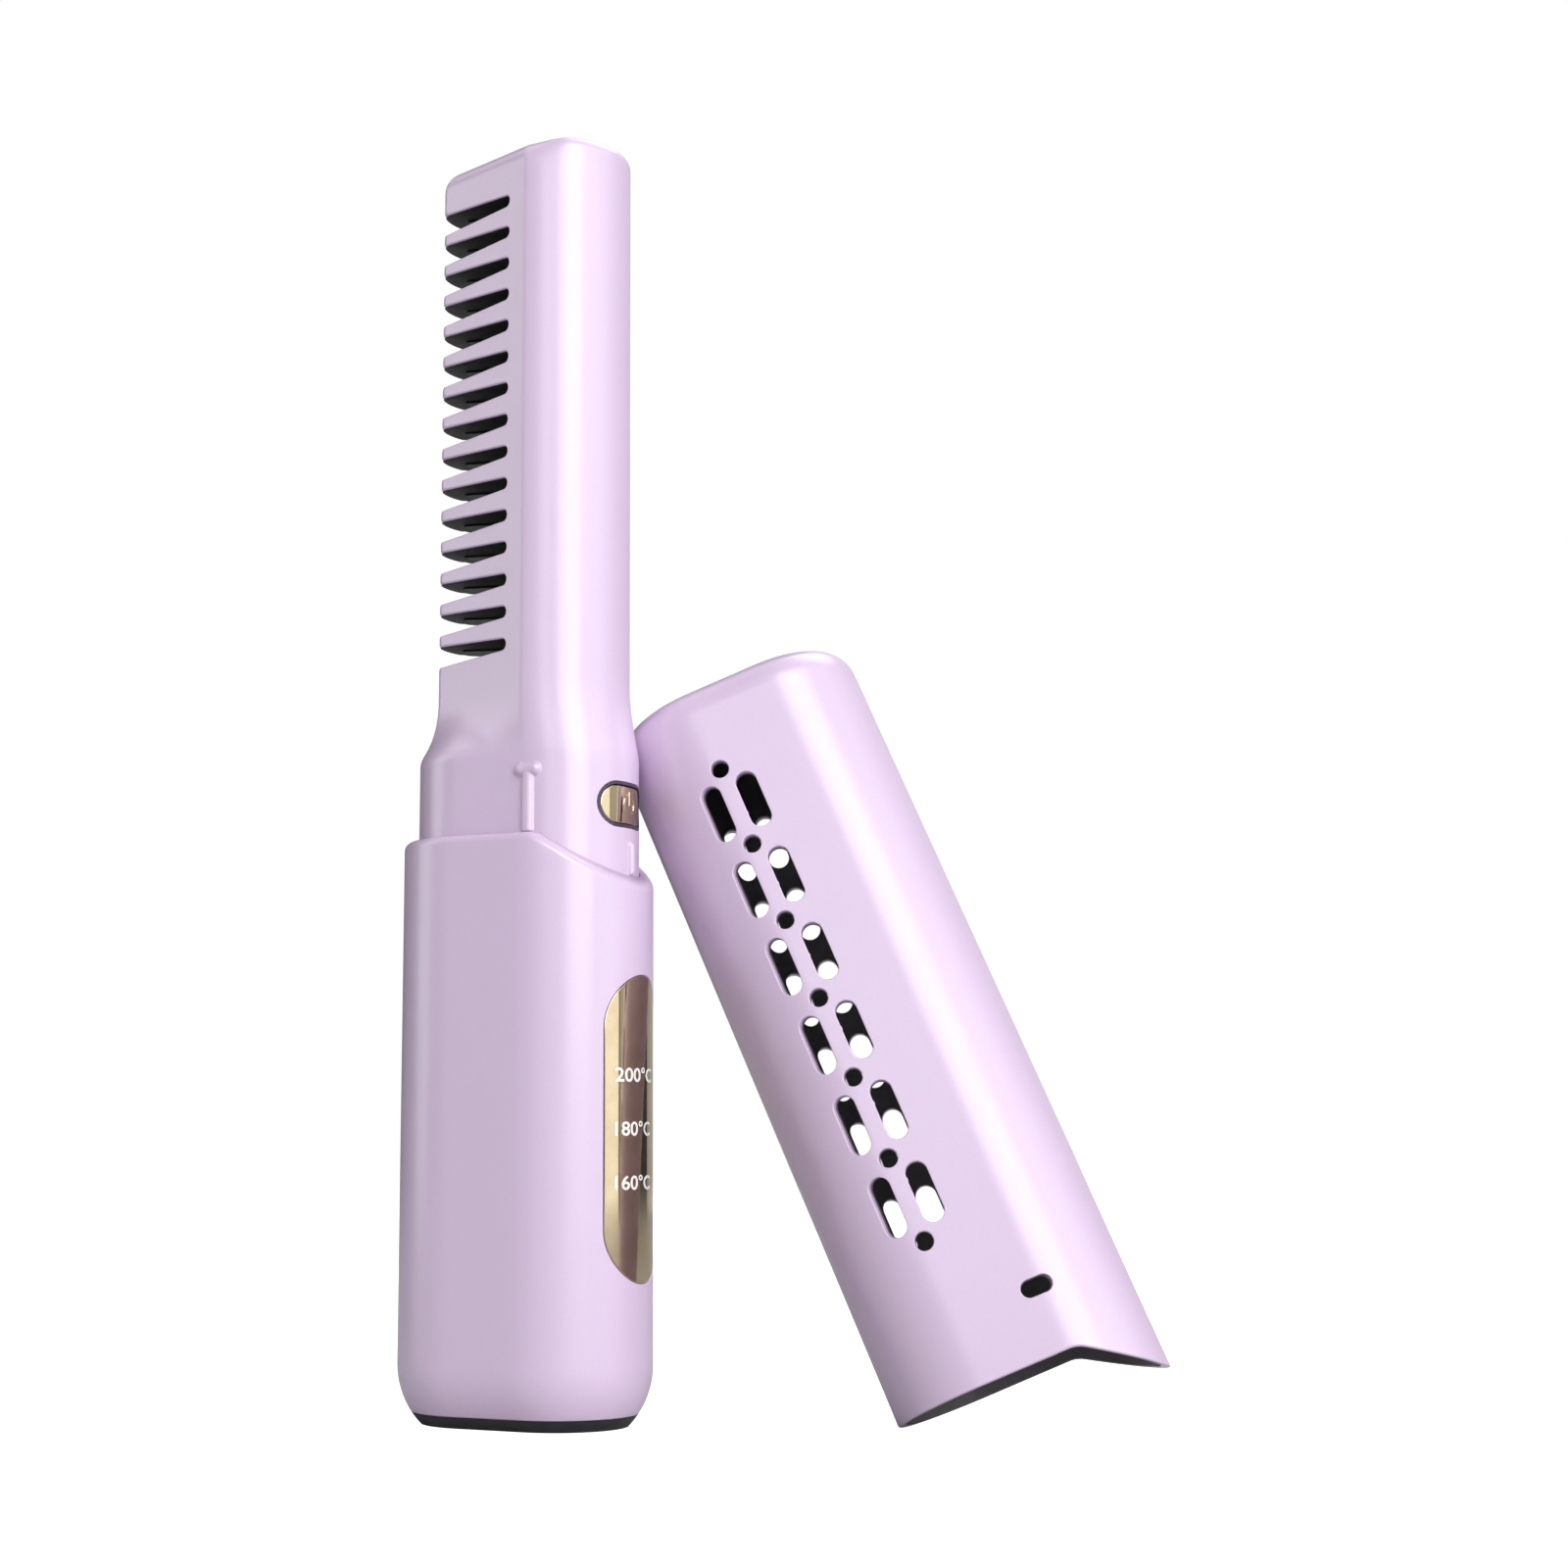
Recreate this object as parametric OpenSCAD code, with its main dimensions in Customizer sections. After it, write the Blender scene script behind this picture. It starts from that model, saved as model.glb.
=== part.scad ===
// Cordless hair-straightening comb with a vented travel cap.
// The comb stands on its base along +Z, with its spine towards +X, its teeth towards -X
// and its front face towards -Y. The origin is the centre of the base's flat underside.
// The cap is off: it stands on its lower corner and leans on the comb's collar.

/* [Handle] */
// Width of the handle, from teeth side to spine
handle_w = 40.4; // [39.4:0.1:43]
// Depth of the handle, front to rear
handle_d = 28.9; // [28.4:0.1:31]
// Wall of the handle shell
handle_wall = 2; // [1.6:0.1:2.3]
// Height of the level part of the handle's rim
rim_h = 88.7; // [86:0.1:92]
// Place along X where the rim starts to fall
rim_bend_x = 8.5; // [4:0.1:12]
// Slope at which the rim falls towards the spine, in degrees
rim_fall = 32; // [20:1:36]
// Radius that rounds the bend of the rim
rim_bend_r = 4; // [1:0.5:8]
// Height over which the foot of the handle rounds inwards
foot_h = 9; // [6:0.5:12]
// How far the foot is drawn in at the floor
foot_inset = 3.7; // [2:0.1:4]
// Height of the black base cover's visible edge
base_edge_h = 1.8; // [1.2:0.1:2.4]
// Height of the inner lip that the chassis stands on
lip_top = 4.8; // [4.2:0.1:6]
// How far the lip stands inwards of the bore
lip_w = 2; // [1.5:0.1:2.6]

/* [Collar and neck] */
// Height of the collar's top edge
collar_top = 101.6; // [100:0.1:104]
// Height where the neck ends and the comb head begins
neck_top = 112; // [109:0.1:113]
// Wall of the collar
collar_wall = 1.6; // [1.2:0.1:1.9]
// Depth that the collar reaches below the level rim, inside the handle
spigot_len = 14.2; // [13.4:0.1:15]
// How sharply the neck hollows towards the spine
neck_power_spine = 1.4; // [1:0.1:2]
// How sharply the neck hollows towards the teeth
neck_power_teeth = 2.5; // [1:0.1:3]
// Diameter of the latch rib's crossbar
latch_bar_d = 2; // [1.4:0.1:2.4]
// Length of the latch rib's crossbar
latch_bar_l = 4.2; // [3:0.1:5]
// Height of the latch crossbar above the rim
latch_h = 9.8; // [8:0.1:10.4]
// Place of the latch rib along X
latch_x = 6.6; // [3:0.1:8]
// How far the latch crossbar stands out of the collar
bar_out = 0.9; // [0.6:0.1:0.9]
// Width of the latch rib's stem
latch_stem_w = 1.9; // [1:0.1:2.4]
// How far the latch rib's stem and the spine rib stand out of the collar
rib_out = 0.7; // [0.3:0.1:0.8]
// Width of the short rib on the spine
spine_rib_w = 1.1; // [0.8:0.1:1.6]
// Height of the spine rib's top above the lowest point of the rim
spine_rib_h = 6.4; // [4:0.1:7]

/* [Comb head] */
// Height of the whole comb
comb_h = 200; // [196:0.5:206]
// Radius of the round spine of the head
spine_r = 12; // [11.4:0.1:12.2]
// Place of the spine's centre along X
spine_x = 4.3; // [3.8:0.1:5]
// Distance from the spine's centre to the crease where the flank starts
crease_off = 0.8; // [0.4:0.1:1.4]
// Distance from the origin to the tip corners, towards -X
tip_x = 14; // [13:0.1:15]
// Half thickness of the head at the tip corners
tip_y = 4.6; // [4:0.1:5.2]
// How far the rounded nose stands out past the tip corners
nose_bulge = 1.2; // [0.8:0.1:1.8]
// Wall of the lilac head shells
head_wall = 1.2; // [1:0.1:1.5]
// Thickness of the closed top of the head
head_top_wall = 3; // [3:0.1:4]
// Radius of the flank's top edge
flank_round = 4.2; // [2:0.1:4.4]
// Radius of the spine's top edge
spine_round = 2; // [1:0.1:3]

/* [Teeth] */
// Number of slots between the teeth, where the head is long enough for them
slot_n = 15; // [11:1:15]
// Least height of the solid block below the last slot
tooth_foot = 3; // [2:0.1:4]
// Distance from one slot to the next
slot_pitch = 5.13; // [4.8:0.01:5.15]
// Distance from the top of the comb to the first slot
slot_first = 9.6; // [8.5:0.1:10]
// Height of a slot at its rounded root
slot_root = 1.8; // [1.4:0.1:2.2]
// Height of a slot at the tooth tips
slot_mouth = 3.6; // [3:0.1:3.9]
// Place of the slot roots along X
slot_root_x = 1.5; // [0:0.1:2]

/* [Heater] */
// Thickness of the heated comb's plate
plate_t = 2.4; // [2:0.1:3]
// Distance from the nose to the heated comb's tips
plate_back = 3.6; // [3:0.1:5]
// How far the heated comb's teeth stand into each slot
plate_proud = 0.25; // [0.1:0.05:0.35]
// Distance from the slot roots to the back of the guard
guard_back = 1.6; // [1.2:0.1:2.4]
// Width of the heater block along X
block_w = 7.2; // [7:0.1:7.6]
// Depth of the heater block along Y
block_d = 8.6; // [7:0.1:10]
// Distance from the neck's top to the heater block
block_low = 4; // [3:0.5:6]
// Distance from the heater block to the closed top of the head
block_high = 5; // [3:0.5:7]
// Width of the heater sleeve along X
sleeve_w = 4.8; // [4.6:0.1:5.2]
// Depth of the heater sleeve along Y
sleeve_d = 3.4; // [3:0.1:3.8]
// Wall of the heater sleeve
sleeve_wall = 0.2; // [0.1:0.05:0.3]
// Thickness of an electrode strip
electrode_t = 0.3; // [0.2:0.05:0.4]
// How far the electrodes reach out below the block
electrode_tail = 3; // [2:0.5:3.5]
// Number of heating chips
chip_n = 3; // [2:1:3]
// Length of one heating chip
chip_l = 20; // [14:1:22]
// Thickness of the ribs that grip the heater block
grip_t = 1.2; // [1:0.1:2]
// Diameter of the thermal fuse
fuse_d = 2.6; // [2:0.1:3]
// Length of the thermal fuse
fuse_l = 9; // [7:0.5:12]
// Diameter of the thermistor bead
bead_d = 1.8; // [1.4:0.1:2.2]
// Length of the thermistor bead
bead_l = 4; // [3:0.5:6]
// Diameter of the heater wires
wire_d = 1.4; // [1:0.1:1.6]
// Diameter of the sensor wires
thin_wire_d = 0.8; // [0.6:0.1:1]

/* [Battery and chassis] */
// Diameter of the battery cell
cell_d = 18.4; // [18:0.1:18.6]
// Length of the battery cell
cell_l = 65; // [60:0.5:65]
// Place of the battery cell along X, towards the teeth
cell_x = -5; // [-6:0.1:-5]
// Wall of the chassis cradle
cradle_wall = 1.2; // [0.8:0.1:1.2]
// Thickness of the chassis floor
floor_t = 3.4; // [3:0.1:4]
// Thickness of the chassis top plate
deck_t = 2; // [1.6:0.1:2.4]
// Thickness of the nickel strips
tab_t = 0.2; // [0.1:0.05:0.3]
// Width of the nickel strips
tab_w = 6; // [4:0.5:8]
// Height of the lugs on the chassis top
lug_h = 5.4; // [5.2:0.1:7]

/* [Board] */
// Thickness of the circuit board
board_t = 1.6; // [1.2:0.1:1.6]
// Width of the circuit board
board_w = 18.4; // [17:0.1:18.6]
// Place of the board's back face along X
board_x = 7.5; // [7.3:0.1:7.7]
// Distance from the button's centre to the board's top edge
board_over = 3.6; // [3.4:0.1:4]
// Side of the control chip
mcu_w = 5; // [4:0.5:6]
// Thickness of the control chip
mcu_t = 0.9; // [0.6:0.1:1.2]
// Width of a power transistor
fet_w = 4; // [3:0.5:5]
// Length of a power transistor
fet_l = 5; // [4:0.5:6]
// Thickness of a power transistor
fet_t = 1.1; // [0.8:0.1:1.4]
// Distance of each power transistor from the board's middle
fet_y = 4.5; // [3:0.5:6]
// Side of the charging coil
coil_w = 5.2; // [4:0.1:6]
// Height of the charging coil
coil_t = 3; // [2:0.1:3.4]
// Height of the lamps on the board
led_h = 1; // [0.8:0.1:1.4]
// Width of a lamp
led_w = 2.8; // [1.6:0.1:3.2]
// Length of a lamp
led_l = 3.5; // [2:0.1:3.8]
// Distance between the lamps, as between the marks on the window
led_pitch = 8; // [6:0.1:9]
// Side of one light chamber
chamber = 5; // [4:0.1:6]
// Width of the light box
light_box_w = 11; // [9:0.1:12]
// Wall of the light box above and below the chambers
light_box_edge = 2; // [1:0.1:3]
// Width of the charging inlet
usb_w = 8.94; // [8.8:0.01:9.1]
// Height of the charging inlet
usb_h = 3.26; // [3.1:0.01:3.4]
// Length of the charging inlet
usb_l = 7.4; // [7:0.1:8]
// Sheet thickness of the charging inlet's shell
usb_sheet = 0.3; // [0.2:0.05:0.4]
// How much of the inlet's length lies on the board
usb_grip = 2.6; // [2:0.1:3]
// Thickness of the block that closes the inlet at the back
usb_back = 1.6; // [1:0.1:2]
// Width of the inlet's tongue
tongue_w = 6.7; // [6:0.1:6.8]
// Thickness of the inlet's tongue
tongue_t = 0.7; // [0.5:0.05:0.8]

/* [Button] */
// Height of the button's centre above the floor
button_z = 93.5; // [93:0.1:94.5]
// Width of the bezel round the spine
bezel_w = 13.8; // [12:0.1:14.4]
// Height of the bezel
bezel_h = 7; // [6.4:0.1:7.4]
// Width of the bezel's visible ring
bezel_ring = 0.45; // [0.3:0.05:0.6]
// Gap between the button and the bezel
button_gap = 0.2; // [0.15:0.05:0.3]
// How far the button travels inwards
button_travel = 0.5; // [0.3:0.1:0.6]
// Thickness of the bezel's inner flange
flange_t = 0.8; // [0.6:0.1:0.9]
// How far the inner flanges reach past the opening
flange_w = 0.8; // [0.6:0.1:1]
// Side of the switch body
switch_w = 6; // [5:0.1:6.2]
// Height of the switch body on the board
switch_h = 3.2; // [3:0.1:3.4]
// Diameter of the switch plunger
plunger_d = 3.4; // [3:0.1:3.6]
// How far the plunger stands out of the switch
plunger_out = 1.6; // [1.2:0.1:2]
// How far the plunger reaches into the switch
plunger_in = 1.2; // [1:0.1:1.4]

/* [Window] */
// Width of the display window
window_w = 16.1; // [14:0.1:17]
// Height of the display window
window_h = 46; // [40:0.5:48]
// Height of the window's centre above the floor
window_z = 44.3; // [42:0.1:46]
// Thickness of the display window
window_t = 1.2; // [0.8:0.1:1.3]
// Width of the ledge that carries the window
window_ledge = 1.2; // [0.8:0.1:1.6]

/* [Cap] */
// Wall of the cap's outer shell
cap_wall = 1.2; // [1:0.1:1.4]
// Wall of the cap's lining
liner_wall = 0.8; // [0.6:0.05:0.9]
// Running gap between the cap's lining and the collar
cap_play = 0.25; // [0.2:0.05:0.3]
// Room between the top of the comb and the inside of the cap
cap_room = 2.1; // [1:0.1:4]
// Radius of the cap's top edge
cap_round = 5; // [4:0.5:7]
// Number of round vent holes
hole_n = 7; // [4:1:7]
// Diameter of a vent hole
hole_d = 2.3; // [1.8:0.1:2.8]
// Distance from one vent hole to the next
hole_pitch = 13.1; // [12:0.1:13.4]
// Height of the first vent hole above the cap's edge
hole_first = 100.5; // [98:0.1:102]
// Place of the vents along X, towards the teeth
vent_x = -5.7; // [-6:0.1:-5]
// Width of a vent slot
vent_w = 3; // [2.4:0.1:3.4]
// Length of a vent slot
vent_l = 9; // [7:0.1:9.4]
// Distance between the two slots of a pair
vent_gap = 5.95; // [5:0.05:6.2]
// Gap round the latch bar in its slot
latch_gap = 0.25; // [0.15:0.05:0.4]
// Lean of the cap towards the comb, in degrees
cap_lean = 23; // [18:0.5:28]
// Sideways tip of the cap, in degrees
cap_tip = -8.9; // [-12:0.1:-5]
// Turn of the cap about the vertical, in degrees
cap_turn = 21.5; // [15:0.5:28]
// Direction from the comb to the cap's foot, in degrees from +X
cap_bearing = 17.8; // [10:0.1:25]
// Gap between the leaning cap and the collar
lean_gap = 0.35; // [0.2:0.05:0.6]

/* [Screws] */
// Thread diameter of all screws
screw_d = 2; // [1.6:0.1:2]
// Head diameter of all screws
screw_head_d = 3.8; // [3.4:0.1:3.8]
// Head height of all screws
screw_head_h = 1.2; // [0.8:0.1:1.3]

/* [Hidden] */
$fn = 64;

lilac = "#cdb9d4";
black = "#262427";
gold = "#d9c69a";
// Gap of parts that are held in place against each other
snug = 0.05;
// Cuts run this far past the faces that they open
past = 1;
// Faceted stretches of the comb lie this far inside the exact stretches that they continue
seam = 0.06;
// The round of the spine reaches this far over the flanks at the crease
crease_lap = 0.02;
// Larger than any size across the comb
wide = 60;

// Handle, collar and cap share one outline: a straight middle and two round ends
reach = (handle_w - handle_d) / 2;
outer_r = handle_d / 2;
bore_r = outer_r - handle_wall;
foot_r = (foot_h * foot_h + foot_inset * foot_inset) / (2 * foot_inset);
plug_r = bore_r - lip_w - snug;
collar_r = outer_r - cap_wall - liner_wall - cap_play;
collar_in_r = collar_r - collar_wall;
spigot_z = rim_h - spigot_len;
rim_low = rim_h - tan(rim_fall) * (reach + outer_r - rim_bend_x);

// Section of the head
crease_x = spine_x + crease_off;
crease_y = sqrt(spine_r * spine_r - crease_off * crease_off);
flank_angle = atan((crease_y - tip_y) / (crease_x + tip_x));
nose_r = (tip_y * tip_y + nose_bulge * nose_bulge) / (2 * nose_bulge);
nose_x = nose_r - nose_bulge - tip_x;
nose_half = asin(tip_y / nose_r);
slot_z = comb_h - slot_first;
slot_room = slot_z - slot_mouth / 2 - neck_top - tooth_foot;
slots = min(slot_n, 1 + floor(slot_room / slot_pitch));
head_floor = comb_h - head_top_wall;

// Heater
guard_x = slot_root_x + guard_back;
block_z = neck_top + block_low;
block_l = head_floor - block_high - block_z;
sleeve_x = guard_x + block_w / 2;
// Room inside the sleeve for the stack of electrodes and heating chips
stack_w = sleeve_w - 2 * sleeve_wall - 2 * snug;
stack_d = sleeve_d - 2 * sleeve_wall - 2 * snug;
stack_end = 2;
chips = min(chip_n, floor((block_l - 2 * stack_end) / chip_l));
sensor_z = block_z + 3;
bead_gap = 4;
wire_x = board_x - wire_d / 2;
wire_z = button_z - 6;

// Handle's contents
floor_z = lip_top + floor_t;
cell_z = floor_z + 2 * tab_t;
cell_top = cell_z + cell_l;
deck_z = max(cell_top + 2 * tab_t, spigot_z + 0.2);
deck_top = deck_z + deck_t;
lug_z = deck_top + lug_h / 2;
lug_x = [-reach, reach - 3];
lug_w = 4.4;
lug_d = 8;
board_front = board_x + board_t;
board_z = lip_top + 0.4;
board_top = button_z + board_over;
board_screw_at = [[6.6, floor_z + 7], [-6.6, cell_top - 5]];
boss_w = 4.4;
boss_l = 4;
usb_x = board_front + usb_h / 2;
usb_z = board_z + usb_grip - usb_l;
base_screw_x = [-11, 3];
base_screw_z = screw_head_h + 0.3;
screw_spare = 0.4;
screw_sink = 0.4;
plunger_x = board_front + switch_h + plunger_out;

cradle_r = cell_d / 2 + 2 * snug;
cradle_out = cradle_r + cradle_wall;

// Cap, in its own frame: the level edge at height 0
cap_len = comb_h - rim_h + cap_room + cap_wall + liner_wall;

// The cap's lowest point touches the floor, so its foot is lifted by the drop of its lower edge
down_x = sin(cap_lean);
down_y = cos(cap_lean) * sin(cap_tip);
cap_lift = down_x * reach + outer_r * sqrt(down_x * down_x + down_y * down_y);

// The cap stands at the smallest distance from the comb at which some plane keeps the two
// lean_gap apart. lean_distance is the foot's distance for a plane along the cap's side, which
// touches the collar's top edge. top_distance is the one for an upright plane, which touches
// the collar's wall and the rounded top of the cap.
function turned(v) =
    let (a = [v.x, v.y * cos(cap_tip) - v.z * sin(cap_tip), v.y * sin(cap_tip) + v.z * cos(cap_tip)])
    let (b = [a.x * cos(cap_lean) - a.z * sin(cap_lean), a.y, a.x * sin(cap_lean) + a.z * cos(cap_lean)])
    [b.x * cos(cap_turn) - b.y * sin(cap_turn), b.x * sin(cap_turn) + b.y * cos(cap_turn), b.z];
function track_support(r, nx, ny) = reach * abs(nx) + r * sqrt(nx * nx + ny * ny);
function lean_distance(a) =
    let (m = turned([cos(a), sin(a), 0]))
    let (away = -(m.x * cos(cap_bearing) + m.y * sin(cap_bearing)))
    let (comb_side = m.z * collar_top - track_support(collar_r, m.x, m.y))
    let (cap_side = m.z * cap_lift + track_support(outer_r, cos(a), sin(a)))
    away > 0.3 ? (lean_gap - comb_side + cap_side) / away : 1000;
function top_distance(off) =
    let (away = [cos(cap_bearing + off), sin(cap_bearing + off), 0])
    let (up = -away * turned([0, 0, 1]))
    let (across = track_support(outer_r - cap_round, away * turned([1, 0, 0]), away * turned([0, 1, 0])))
    let (cap_side = (cap_len - cap_round) * max(0, up) + across + cap_round)
    (lean_gap + track_support(collar_r, away.x, away.y) + cap_side) / cos(off);
cap_away = min([
    for (a = [120 : 1 : 240]) lean_distance(a),
    for (off = [-60 : 1 : 60]) top_distance(off)]);

// Outline shared by handle, collar and cap, with round ends of radius r
module track(r) {
    for (side = [-1, 1]) translate([side * reach, 0]) circle(r = r);
    square([2 * reach, 2 * r], center = true);
}

// The half profile drawn by the children, carried round the shared outline
module track_sweep() {
    for (side = [-1, 1]) translate([side * reach, 0, 0]) rotate_extrude() children();
    rotate([90, 0, 90]) linear_extrude(2 * reach, center = true) {
        children();
        mirror([1, 0]) children();
    }
}

// Everything below the handle's rim, seen from the front and extruded through the depth
module below_rim(drop = 0) {
    run = rim_bend_r * tan(rim_fall / 2);
    end_x = wide / 2;
    translate([0, wide / 2, -drop]) rotate([90, 0, 0]) linear_extrude(wide) {
        polygon([
            [-end_x, 0], [end_x, 0],
            [end_x, rim_h - (end_x - rim_bend_x) * tan(rim_fall)],
            [rim_bend_x + run * cos(rim_fall), rim_h - run * sin(rim_fall)],
            [rim_bend_x - run, rim_h], [-end_x, rim_h]]);
        translate([rim_bend_x - run, rim_h - rim_bend_r]) circle(r = rim_bend_r);
    }
}

// Half profile of the handle from height low to height high, drawn in at the foot
module foot_profile(low, high) {
    intersection() {
        translate([0, low]) square([outer_r, high - low]);
        union() {
            translate([0, foot_h]) square([outer_r, wide * 2]);
            translate([outer_r - foot_r, foot_h]) circle(r = foot_r, $fn = 180);
        }
    }
}

// A slot-shaped outline: w across, h along, with round ends
module pill(w, h) {
    for (side = [-1, 1]) translate([0, side * (h - w) / 2]) circle(d = w);
    square([w, h - w], center = true);
}

// An upright or lying pill pushed through the spine along X
module spine_pill(z, along_y, along_z) {
    tall = along_z > along_y;
    translate([spine_x, 0, z]) rotate([90, 0, 90]) linear_extrude(wide / 2)
        rotate(tall ? 0 : 90) pill(min(along_y, along_z), max(along_y, along_z));
}

// Screw standing on its head's underside at height 0, thread upwards
module screw(length) {
    translate([0, 0, -screw_head_h]) difference() {
        cylinder(d = screw_head_d, h = screw_head_h);
        translate([0, 0, -past]) cylinder(d = screw_head_d / 2, h = past + screw_head_h / 2, $fn = 6);
    }
    cylinder(d = screw_d, h = length);
}

// Section of the comb head, drawn in by flank_in on the flanks and nose and spine_in on the spine
module head_section(flank_in = 0, spine_in = 0) {
    drop = flank_in / cos(flank_angle);
    intersection() {
        translate([spine_x, 0]) circle(r = spine_r - spine_in);
        translate([crease_x - crease_lap, -wide / 2]) square(wide);
    }
    intersection() {
        for_both_flanks(drop);
        union() {
            translate([flank_in - tip_x, -wide / 2]) square([crease_x + tip_x - flank_in, wide]);
            translate([nose_x + flank_in, 0]) intersection() {
                circle(r = nose_r);
                translate([-nose_r, -nose_r]) square([nose_r, 2 * nose_r]);
            }
        }
    }
}

// The space between the two flank planes, each moved inwards by drop along Y
module for_both_flanks(drop) {
    intersection_for(side = [-1, 1])
        translate([crease_x, side * (crease_y - drop)]) rotate(side * flank_angle)
            translate([-wide, side > 0 ? -wide : 0]) square([wide * 2, wide]);
}

// Space inside the head shells, open at the nose where the guard fills it
module head_space() {
    intersection() {
        translate([spine_x, 0]) circle(r = spine_r - head_wall);
        translate([crease_x, -wide / 2]) square(wide);
    }
    intersection() {
        for_both_flanks(head_wall / cos(flank_angle));
        translate([-wide, -wide / 2]) square([wide + crease_x, wide]);
    }
}

// Rings of the neck: matching points of the collar's outline and of the head's outline
function arc_points(cx, r, from, to, n) =
    [for (i = [0 : n - 1]) let (a = from + (to - from) * i / n) [cx + r * cos(a), r * sin(a)]];
function line_points(p, q, n) = [for (i = [0 : n - 1]) p + (q - p) * i / n];
function mirrored(p) = [p.x, -p.y];
function collar_ring(r) = concat(
    arc_points(reach, r, -90, 90, 24),
    line_points([reach, r], [-reach, r], 6),
    arc_points(-reach, r, 90, 150, 4),
    arc_points(-reach, r, 150, 210, 6),
    arc_points(-reach, r, 210, 270, 4),
    line_points([-reach, -r], [reach, -r], 6));
function head_ring(inset) =
    let (crease_a = acos(crease_off / spine_r))
    let (crease = [crease_x - inset * sin(flank_angle), crease_y - inset * cos(flank_angle)])
    let (tip = [-tip_x + inset, tip_y - inset * 0.8])
    concat(
        arc_points(spine_x, spine_r - inset, -crease_a, crease_a, 24),
        line_points(crease, tip, 10),
        arc_points(nose_x + inset, nose_r, 180 - asin(tip.y / nose_r), 180 + asin(tip.y / nose_r), 6),
        line_points(mirrored(tip), mirrored(crease), 10));
function neck_power(x) =
    let (w = (reach + collar_r - x) / (2 * (reach + collar_r)))
    neck_power_spine + (neck_power_teeth - neck_power_spine) * w;
function neck_points(w, from, to) =
    [for (i = [0 : len(from) - 1]) to[i] + (from[i] - to[i]) * pow(1 - w, neck_power(from[i].x))];

// Solid of the neck between the collar's outline and the head's, drawn in by the two insets
module neck(collar_in, head_in) {
    from = collar_ring(collar_r - collar_in);
    to = head_ring(head_in);
    steps = 6;
    n = len(from);
    rings = [for (k = [0 : steps]) let (w = k / steps)
        for (p = neck_points(w, from, to)) [p.x, p.y, collar_top + (neck_top - collar_top) * w]];
    sides = [for (k = [0 : steps - 1]) for (i = [0 : n - 1]) let (a = k * n + i, b = k * n + (i + 1) % n)
        each [[a, a + n, b], [b, a + n, b + n]]];
    low_mid = len(rings);
    ends = [for (i = [0 : n - 1]) let (j = (i + 1) % n)
        each [[low_mid, i, j], [low_mid + 1, steps * n + j, steps * n + i]]];
    polyhedron(concat(rings, [[0, 0, collar_top], [0, 0, neck_top]]), concat(ends, sides));
}

// Outer form of collar, neck and head
module comb_form() {
    translate([0, 0, spigot_z]) linear_extrude(collar_top - spigot_z) track(collar_r);
    neck(seam, seam);
    top_start = comb_h - flank_round;
    translate([0, 0, neck_top]) linear_extrude(top_start - neck_top) head_section();
    hull() for (a = [0 : 15 : 90]) {
        rise = flank_round * sin(a);
        spine_rise = max(0, rise - flank_round + spine_round);
        translate([0, 0, top_start + rise - (a > 0 ? 0.01 : 0)]) linear_extrude(0.01)
            head_section(
                seam + flank_round * (1 - cos(a)),
                seam + spine_round - sqrt(max(0, spine_round * spine_round - spine_rise * spine_rise)));
    }
}

// Hollow of collar, neck and head
module comb_hollow() {
    translate([0, 0, spigot_z - past]) linear_extrude(collar_top - spigot_z + past) track(collar_in_r);
    neck(collar_wall + seam, head_wall + seam);
    translate([0, 0, neck_top]) linear_extrude(head_floor - neck_top) head_space();
}

// The row of tooth slots; grow widens each slot and deepens its root
module tooth_slots(grow = 0) {
    half_root = slot_root / 2 + grow;
    half_mouth = slot_mouth / 2 + grow;
    mouth_x = -tip_x - nose_bulge - past;
    for (i = [0 : slots - 1]) translate([0, wide / 2, slot_z - i * slot_pitch])
        rotate([90, 0, 0]) linear_extrude(wide) {
            translate([slot_root_x - slot_root / 2, 0]) circle(r = half_root);
            polygon([
                [slot_root_x - slot_root / 2, half_root], [mouth_x, half_mouth],
                [mouth_x, -half_mouth], [slot_root_x - slot_root / 2, -half_root]]);
        }
}

// Latch rib on the front of the collar: a stem and a crossbar that ends in two beads
module latch_rib() {
    bar_z = rim_h + latch_h;
    bead_d = latch_bar_d + 2 * snug;
    bar_run = latch_bar_l - bead_d;
    translate([latch_x, -collar_r, 0]) {
        translate([0, latch_stem_w / 2 - rib_out, rim_h + snug])
            cylinder(d = latch_stem_w, h = latch_h - snug);
        translate([0, latch_bar_d / 2 - bar_out, bar_z]) {
            rotate([0, 90, 0]) cylinder(d = latch_bar_d, h = bar_run, center = true);
            for (turn = [0, 180]) rotate(turn) translate([-bar_run / 2, 0, 0]) sphere(d = bead_d);
        }
    }
}

// Short rib on the spine of the collar
module spine_rib() {
    low = rim_h - tan(rim_fall) * (reach + collar_r - spine_rib_w - rim_bend_x) + snug;
    translate([reach + collar_r + rib_out - spine_rib_w / 2, 0, low])
        cylinder(d = spine_rib_w, h = rim_low + spine_rib_h - low);
}

// Ribs inside the head shells that grip the heater block
module grip_ribs() {
    for (part = [0.15, 0.5, 0.85]) translate([0, 0, block_z + block_l * part]) linear_extrude(grip_t)
        intersection() {
            head_section(head_wall - snug, head_wall - snug);
            difference() {
                translate([guard_x + 1, -wide / 2]) square([block_w - 2, wide]);
                square([wide, block_d + 2 * snug], center = true);
            }
        }
}

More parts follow.
